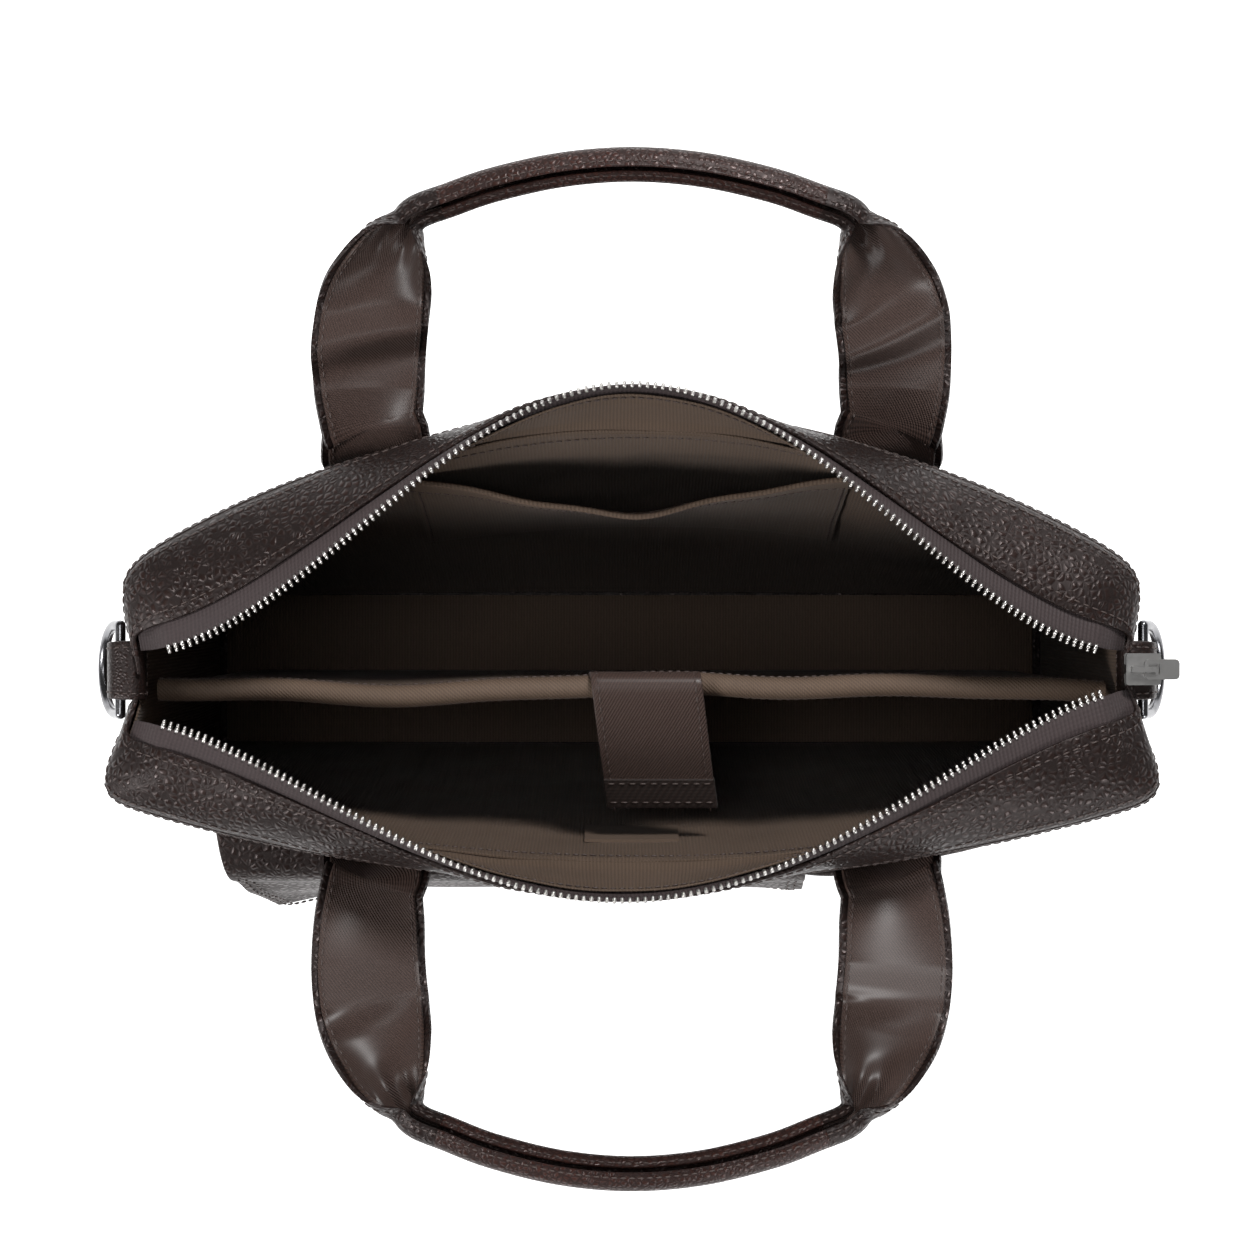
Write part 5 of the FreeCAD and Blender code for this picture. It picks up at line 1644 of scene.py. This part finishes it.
def handle_frame(face):
    """Centre line, its directions, normals, curl and the loose length to the grip, for one whole handle."""
    if face in shapes:
        return shapes[face]
    side = SIDE[face]
    pivot_y, pivot_z = PIVOT[face]
    scale = (REACH[face] - pivot_y) / PIVOT_TO_GRIP
    half = []
    for z, out in ((STRAP_LOW[face], 3.6), (STRAP_LOW[face] * 0.4 + 0.232 * 0.6, 3.6), (0.2335, 4.2)):
        half.append(on_wall(face, STRAP_X, z, np.array(out * MM)))
    half.append(np.array([STRAP_X, side * (pivot_y - 0.8 * MM), pivot_z - 0.8 * MM]))
    widths = [0.038] * len(half)
    for (x_outer, outer), (x_inner, inner) in HANDLE_EDGES:
        reach = (outer + inner) / 2 * scale
        half.append(np.array([(x_outer + x_inner) / 2 * MM, side * (pivot_y + reach),
                              pivot_z + reach * math.tan(HANDLE_TILT)]))
        widths.append(math.hypot(x_outer - x_inner, (outer - inner) * scale / math.cos(HANDLE_TILT)) * MM)
    half = [np.append(point, width) for point, width in zip(half, widths)]
    mirrored = [point * [-1, 1, 1, 1] for point in half]
    run = spline(mirrored + half[::-1][1:], 420)
    line, seen = run[:, :3], run[:, 3]
    tangent = unit(np.gradient(line, axis=0))
    plane = np.array([0, -side * math.sin(HANDLE_TILT), math.cos(HANDLE_TILT)])
    normals = unit(np.cross((side, 0, 0), np.where(line[:, :1] < 0, 1, -1) * tangent))
    in_plane = smooth_step(side * line[:, 1], pivot_y + 4 * MM, pivot_y + 16 * MM)[:, None]
    normals = unit(normals * (1 - in_plane) + plane * in_plane)
    normals = unit(normals - tangent * np.sum(normals * tangent, axis=1, keepdims=True))
    length = lengths_along(line)
    to_grip = np.minimum(length, length[-1] - length)
    curl = curl_for(seen)
    shapes[face] = (line, tangent, normals, curl, in_plane[:, 0] * to_grip)
    return shapes[face]


def handle_sheet(face, rows, shares, offset):
    """Points across the handle's leather: shares run from -0.5 to 0.5, offset is towards its inside."""
    line, tangent, normals, curl, run = (values[rows] for values in handle_frame(face))
    across = np.cross(tangent, normals)
    share = shares[None, :]
    x, z = curled_section(curl[:, None], share, offset)
    slack = smooth_step(run, 0.050, 0.066) * (1 - curl) ** 1.5
    phase = run[:, None] / (5.6 * MM) + share * 2.6 * np.sign(line[:, :1]) + SIDE[face]
    ridge = 2 * (0.5 + 0.5 * np.sin(phase)) ** 2.2 - 1
    pinch = smooth_step(curl, 0.25, 0.6) * (1 - smooth_step(curl, 0.75, 0.98))
    pleat = np.cos(share * 26.0 + 0.6) * (1 - np.abs(share)) * pinch[:, None]
    z = z + 3.0 * MM * ridge * slack[:, None] + 1.5 * MM * pleat
    return line[:, None, :] + across[:, None, :] * x[..., None] + normals[:, None, :] * z[..., None]


def blend_handle(item, face):
    """Lets a piece of a handle bend where the handle turns."""
    side = SIDE[face]
    pivot_y, pivot_z = PIVOT[face]
    start = (0, side * (pivot_y - 4.5 * MM), pivot_z - 5 * MM)
    end = (0, side * (pivot_y + 13 * MM), pivot_z + 5.5 * MM)
    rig.blend(item, "shell", face + "_handle", start=start, end=end)


class BRIEFCASE_OT_handles(bpy.types.Operator):
    """Make both handles: leather straps, their woven inner face and the rolled grips"""
    bl_idname = "briefcase.handles"
    bl_label = "Handles"

    def execute(self, context):
        leather = leather_material()
        web = webbing_material()
        thick = sizes().leather
        for face in SIDE:
            line, tangent, normals, curl, _ = handle_frame(face)
            count = len(line)
            flat = np.linspace(-0.5, 0.5, 25)
            grip_first = int(np.argmax((line[:, 0] > -GRIP_HALF) & (curl > 0.9)))
            spans = (("left", np.arange(0, grip_first + 1)),
                     ("right", np.arange(count - 1 - grip_first, count)))
            for hand, rows in spans:
                outer = handle_sheet(face, rows, flat, -thick)
                inner = handle_sheet(face, rows, flat, -0.05 * MM)
                strap = slab(f"{face}_{hand}_strap_leather", outer, inner, leather, 0.5 * MM)
                blend_handle(strap, face)
                finish_piece(strap, None, "leather", f"{face}_{hand}_strap")
                woven = np.linspace(-TUBE_SHARE, TUBE_SHARE, 21)
                outer = handle_sheet(face, rows, woven, 0.05 * MM)
                inner = handle_sheet(face, rows, woven, 1.3 * MM)
                lining = slab(f"{face}_{hand}_strap_webbing", outer, inner, web, 0.4 * MM)
                blend_handle(lining, face)
                finish_piece(lining, None, "webbing", f"{face}_{hand}_webbing")
            rows = np.arange(grip_first, count - grip_first)
            rolled = np.linspace(-0.5, 0.5, 41)
            outer = handle_sheet(face, rows, rolled, -thick)
            inner = handle_sheet(face, rows, rolled, -0.05 * MM)
            # Painted light: the grip's leather is the leather made 1.6 to 2.2 times brighter and warmer, standing in
            # for the brown, lit look of the rolled grip.
            worn = leather_material("grip_leather", 520.0, (2.2, 1.7, 1.6), 0.7)
            grip = slab(face + "_grip_leather", outer, inner, worn, 0.5 * MM)
            finish_piece(grip, face + "_handle", "leather", face + "_grip_cover", face + "_grip_core")
            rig.padded(grip, fill=0.9)
            lines = []
            for share in (-0.405, 0.405):
                for rows in (np.arange(6, grip_first), np.arange(count - grip_first, count - 6)):
                    spot = handle_sheet(face, rows, np.array([share]), 1.35 * MM)[:, 0]
                    keep = curl[rows] < 0.8
                    lines.append((spot[keep], normals[rows][keep]))
                    under = handle_sheet(face, rows, np.array([share]), -thick - 0.1 * MM)[:, 0]
                    lines.append((under[keep], -normals[rows][keep]))
            stitching = stitch_rows(face + "_strap_stitching", lines, None)
            blend_handle(stitching, face)
            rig.slot(stitching, "leather")
            rows = np.arange(grip_first - 14, count - grip_first + 14)
            seam_lines = []
            for share in (-0.478, 0.478):
                spot = handle_sheet(face, rows, np.array([share]), 0)[:, 0]
                across = np.cross(tangent[rows], normals[rows]) * math.copysign(1, share)
                seam_lines.append((spot + across * (thick + 0.2 * MM), across))
            stitch_rows(face + "_grip_stitching", seam_lines, face + "_handle", LINING_PITCH)
        return {"FINISHED"}


# ---------------------------------------------------------------- metal and hidden parts

class BRIEFCASE_OT_fittings(bpy.types.Operator):
    """Give the rings, zip slider, snap, board and patches their finishes, and make the bottom leather"""
    bl_idname = "briefcase.fittings"
    bl_label = "Fittings"

    def execute(self, context):
        gunmetal = metal_material("ring_gunmetal", (0.20, 0.20, 0.21), 0.12)
        silver = metal_material("slider_silver", (0.27, 0.265, 0.26), 0.26)
        snap = metal_material("snap_nickel", (0.5, 0.48, 0.45), 0.25)
        fuzzy = cloth_material("loop_pile", [c * 0.85 for c in colours().lining], threads=5000.0,
                               strength=1.0)
        board, tree, shader = new_material("pressed_board")
        place = tree.nodes.new("ShaderNodeTexCoord").outputs["Object"]
        fibre = noise_value(tree, place, 260.0, 4.0)
        wire(tree, shader, {"Base Color": mix_colour(tree, fibre, (0.10, 0.08, 0.06), (0.2, 0.16, 0.12)),
                            "Roughness": maths(tree, "ADD", 0.7, maths(tree, "MULTIPLY", fibre, 0.25))})
        finishes = {"left_dring": gunmetal, "right_dring": gunmetal, "zip_slider": silver, "zip_pull": silver,
                    "snap_magnet": snap, "snap_plate": snap, "base_board": board, "strap_loop_patch": fuzzy}
        for node, material in finishes.items():
            for spot in bpy.data.objects[node].material_slots:
                spot.material = material
        lowest, highest = low("bottom_panel"), high("bottom_panel")
        x, y = spread((lowest[0], highest[0]), (lowest[1], highest[1]), 100, 30)
        under = np.stack([x, y, np.zeros_like(x)], axis=-1)
        over = under + [0, 0, highest[2]]
        bottom = slab("bottom_leather", over, under, leather_material(), 0.5 * MM)
        finish_piece(bottom, "shell", "leather", "bottom_panel")
        return {"FINISHED"}


# ---------------------------------------------------------------- panel, registration and the run

CLASSES = [item for item in list(globals().values())
           if isinstance(item, type) and item.__name__.startswith("BRIEFCASE_")]
OPERATORS = [item for item in CLASSES if issubclass(item, bpy.types.Operator)]


class BRIEFCASE_PT_panel(bpy.types.Panel):
    """Lists the steps that make the briefcase"""
    bl_idname = "BRIEFCASE_PT_panel"
    bl_label = "Leather briefcase"
    bl_space_type = "VIEW_3D"
    bl_region_type = "UI"
    bl_category = "Briefcase"

    def draw(self, context):
        layout = self.layout
        for name in BRIEFCASE_PG_sizes.__annotations__:
            layout.prop(context.scene.briefcase_sizes, name)
        for name in BRIEFCASE_PG_colours.__annotations__:
            layout.prop(context.scene.briefcase_colours, name)
        for operator in OPERATORS:
            layout.operator(operator.bl_idname)


def register():
    """Registers every class and the scene's settings."""
    for item in CLASSES + [BRIEFCASE_PT_panel]:
        bpy.utils.register_class(item)
    bpy.types.Scene.briefcase_sizes = bpy.props.PointerProperty(type=BRIEFCASE_PG_sizes)
    bpy.types.Scene.briefcase_colours = bpy.props.PointerProperty(type=BRIEFCASE_PG_colours)


def unregister():
    """Takes away what register added."""
    del bpy.types.Scene.briefcase_sizes
    del bpy.types.Scene.briefcase_colours
    for item in reversed(CLASSES + [BRIEFCASE_PT_panel]):
        bpy.utils.unregister_class(item)


def main():
    """Makes the whole briefcase and writes the two boxes."""
    register()
    for operator in OPERATORS:
        group, name = operator.bl_idname.split(".")
        getattr(getattr(bpy.ops, group), name)()
    with open("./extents.json", "w") as report:
        boxes = {"cad": CAD_BOX, "visual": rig.bounds()}
        json.dump({key: [list(map(float, corner)) for corner in box] for key, box in boxes.items()}, report)


if __name__ == "__main__":
    main()
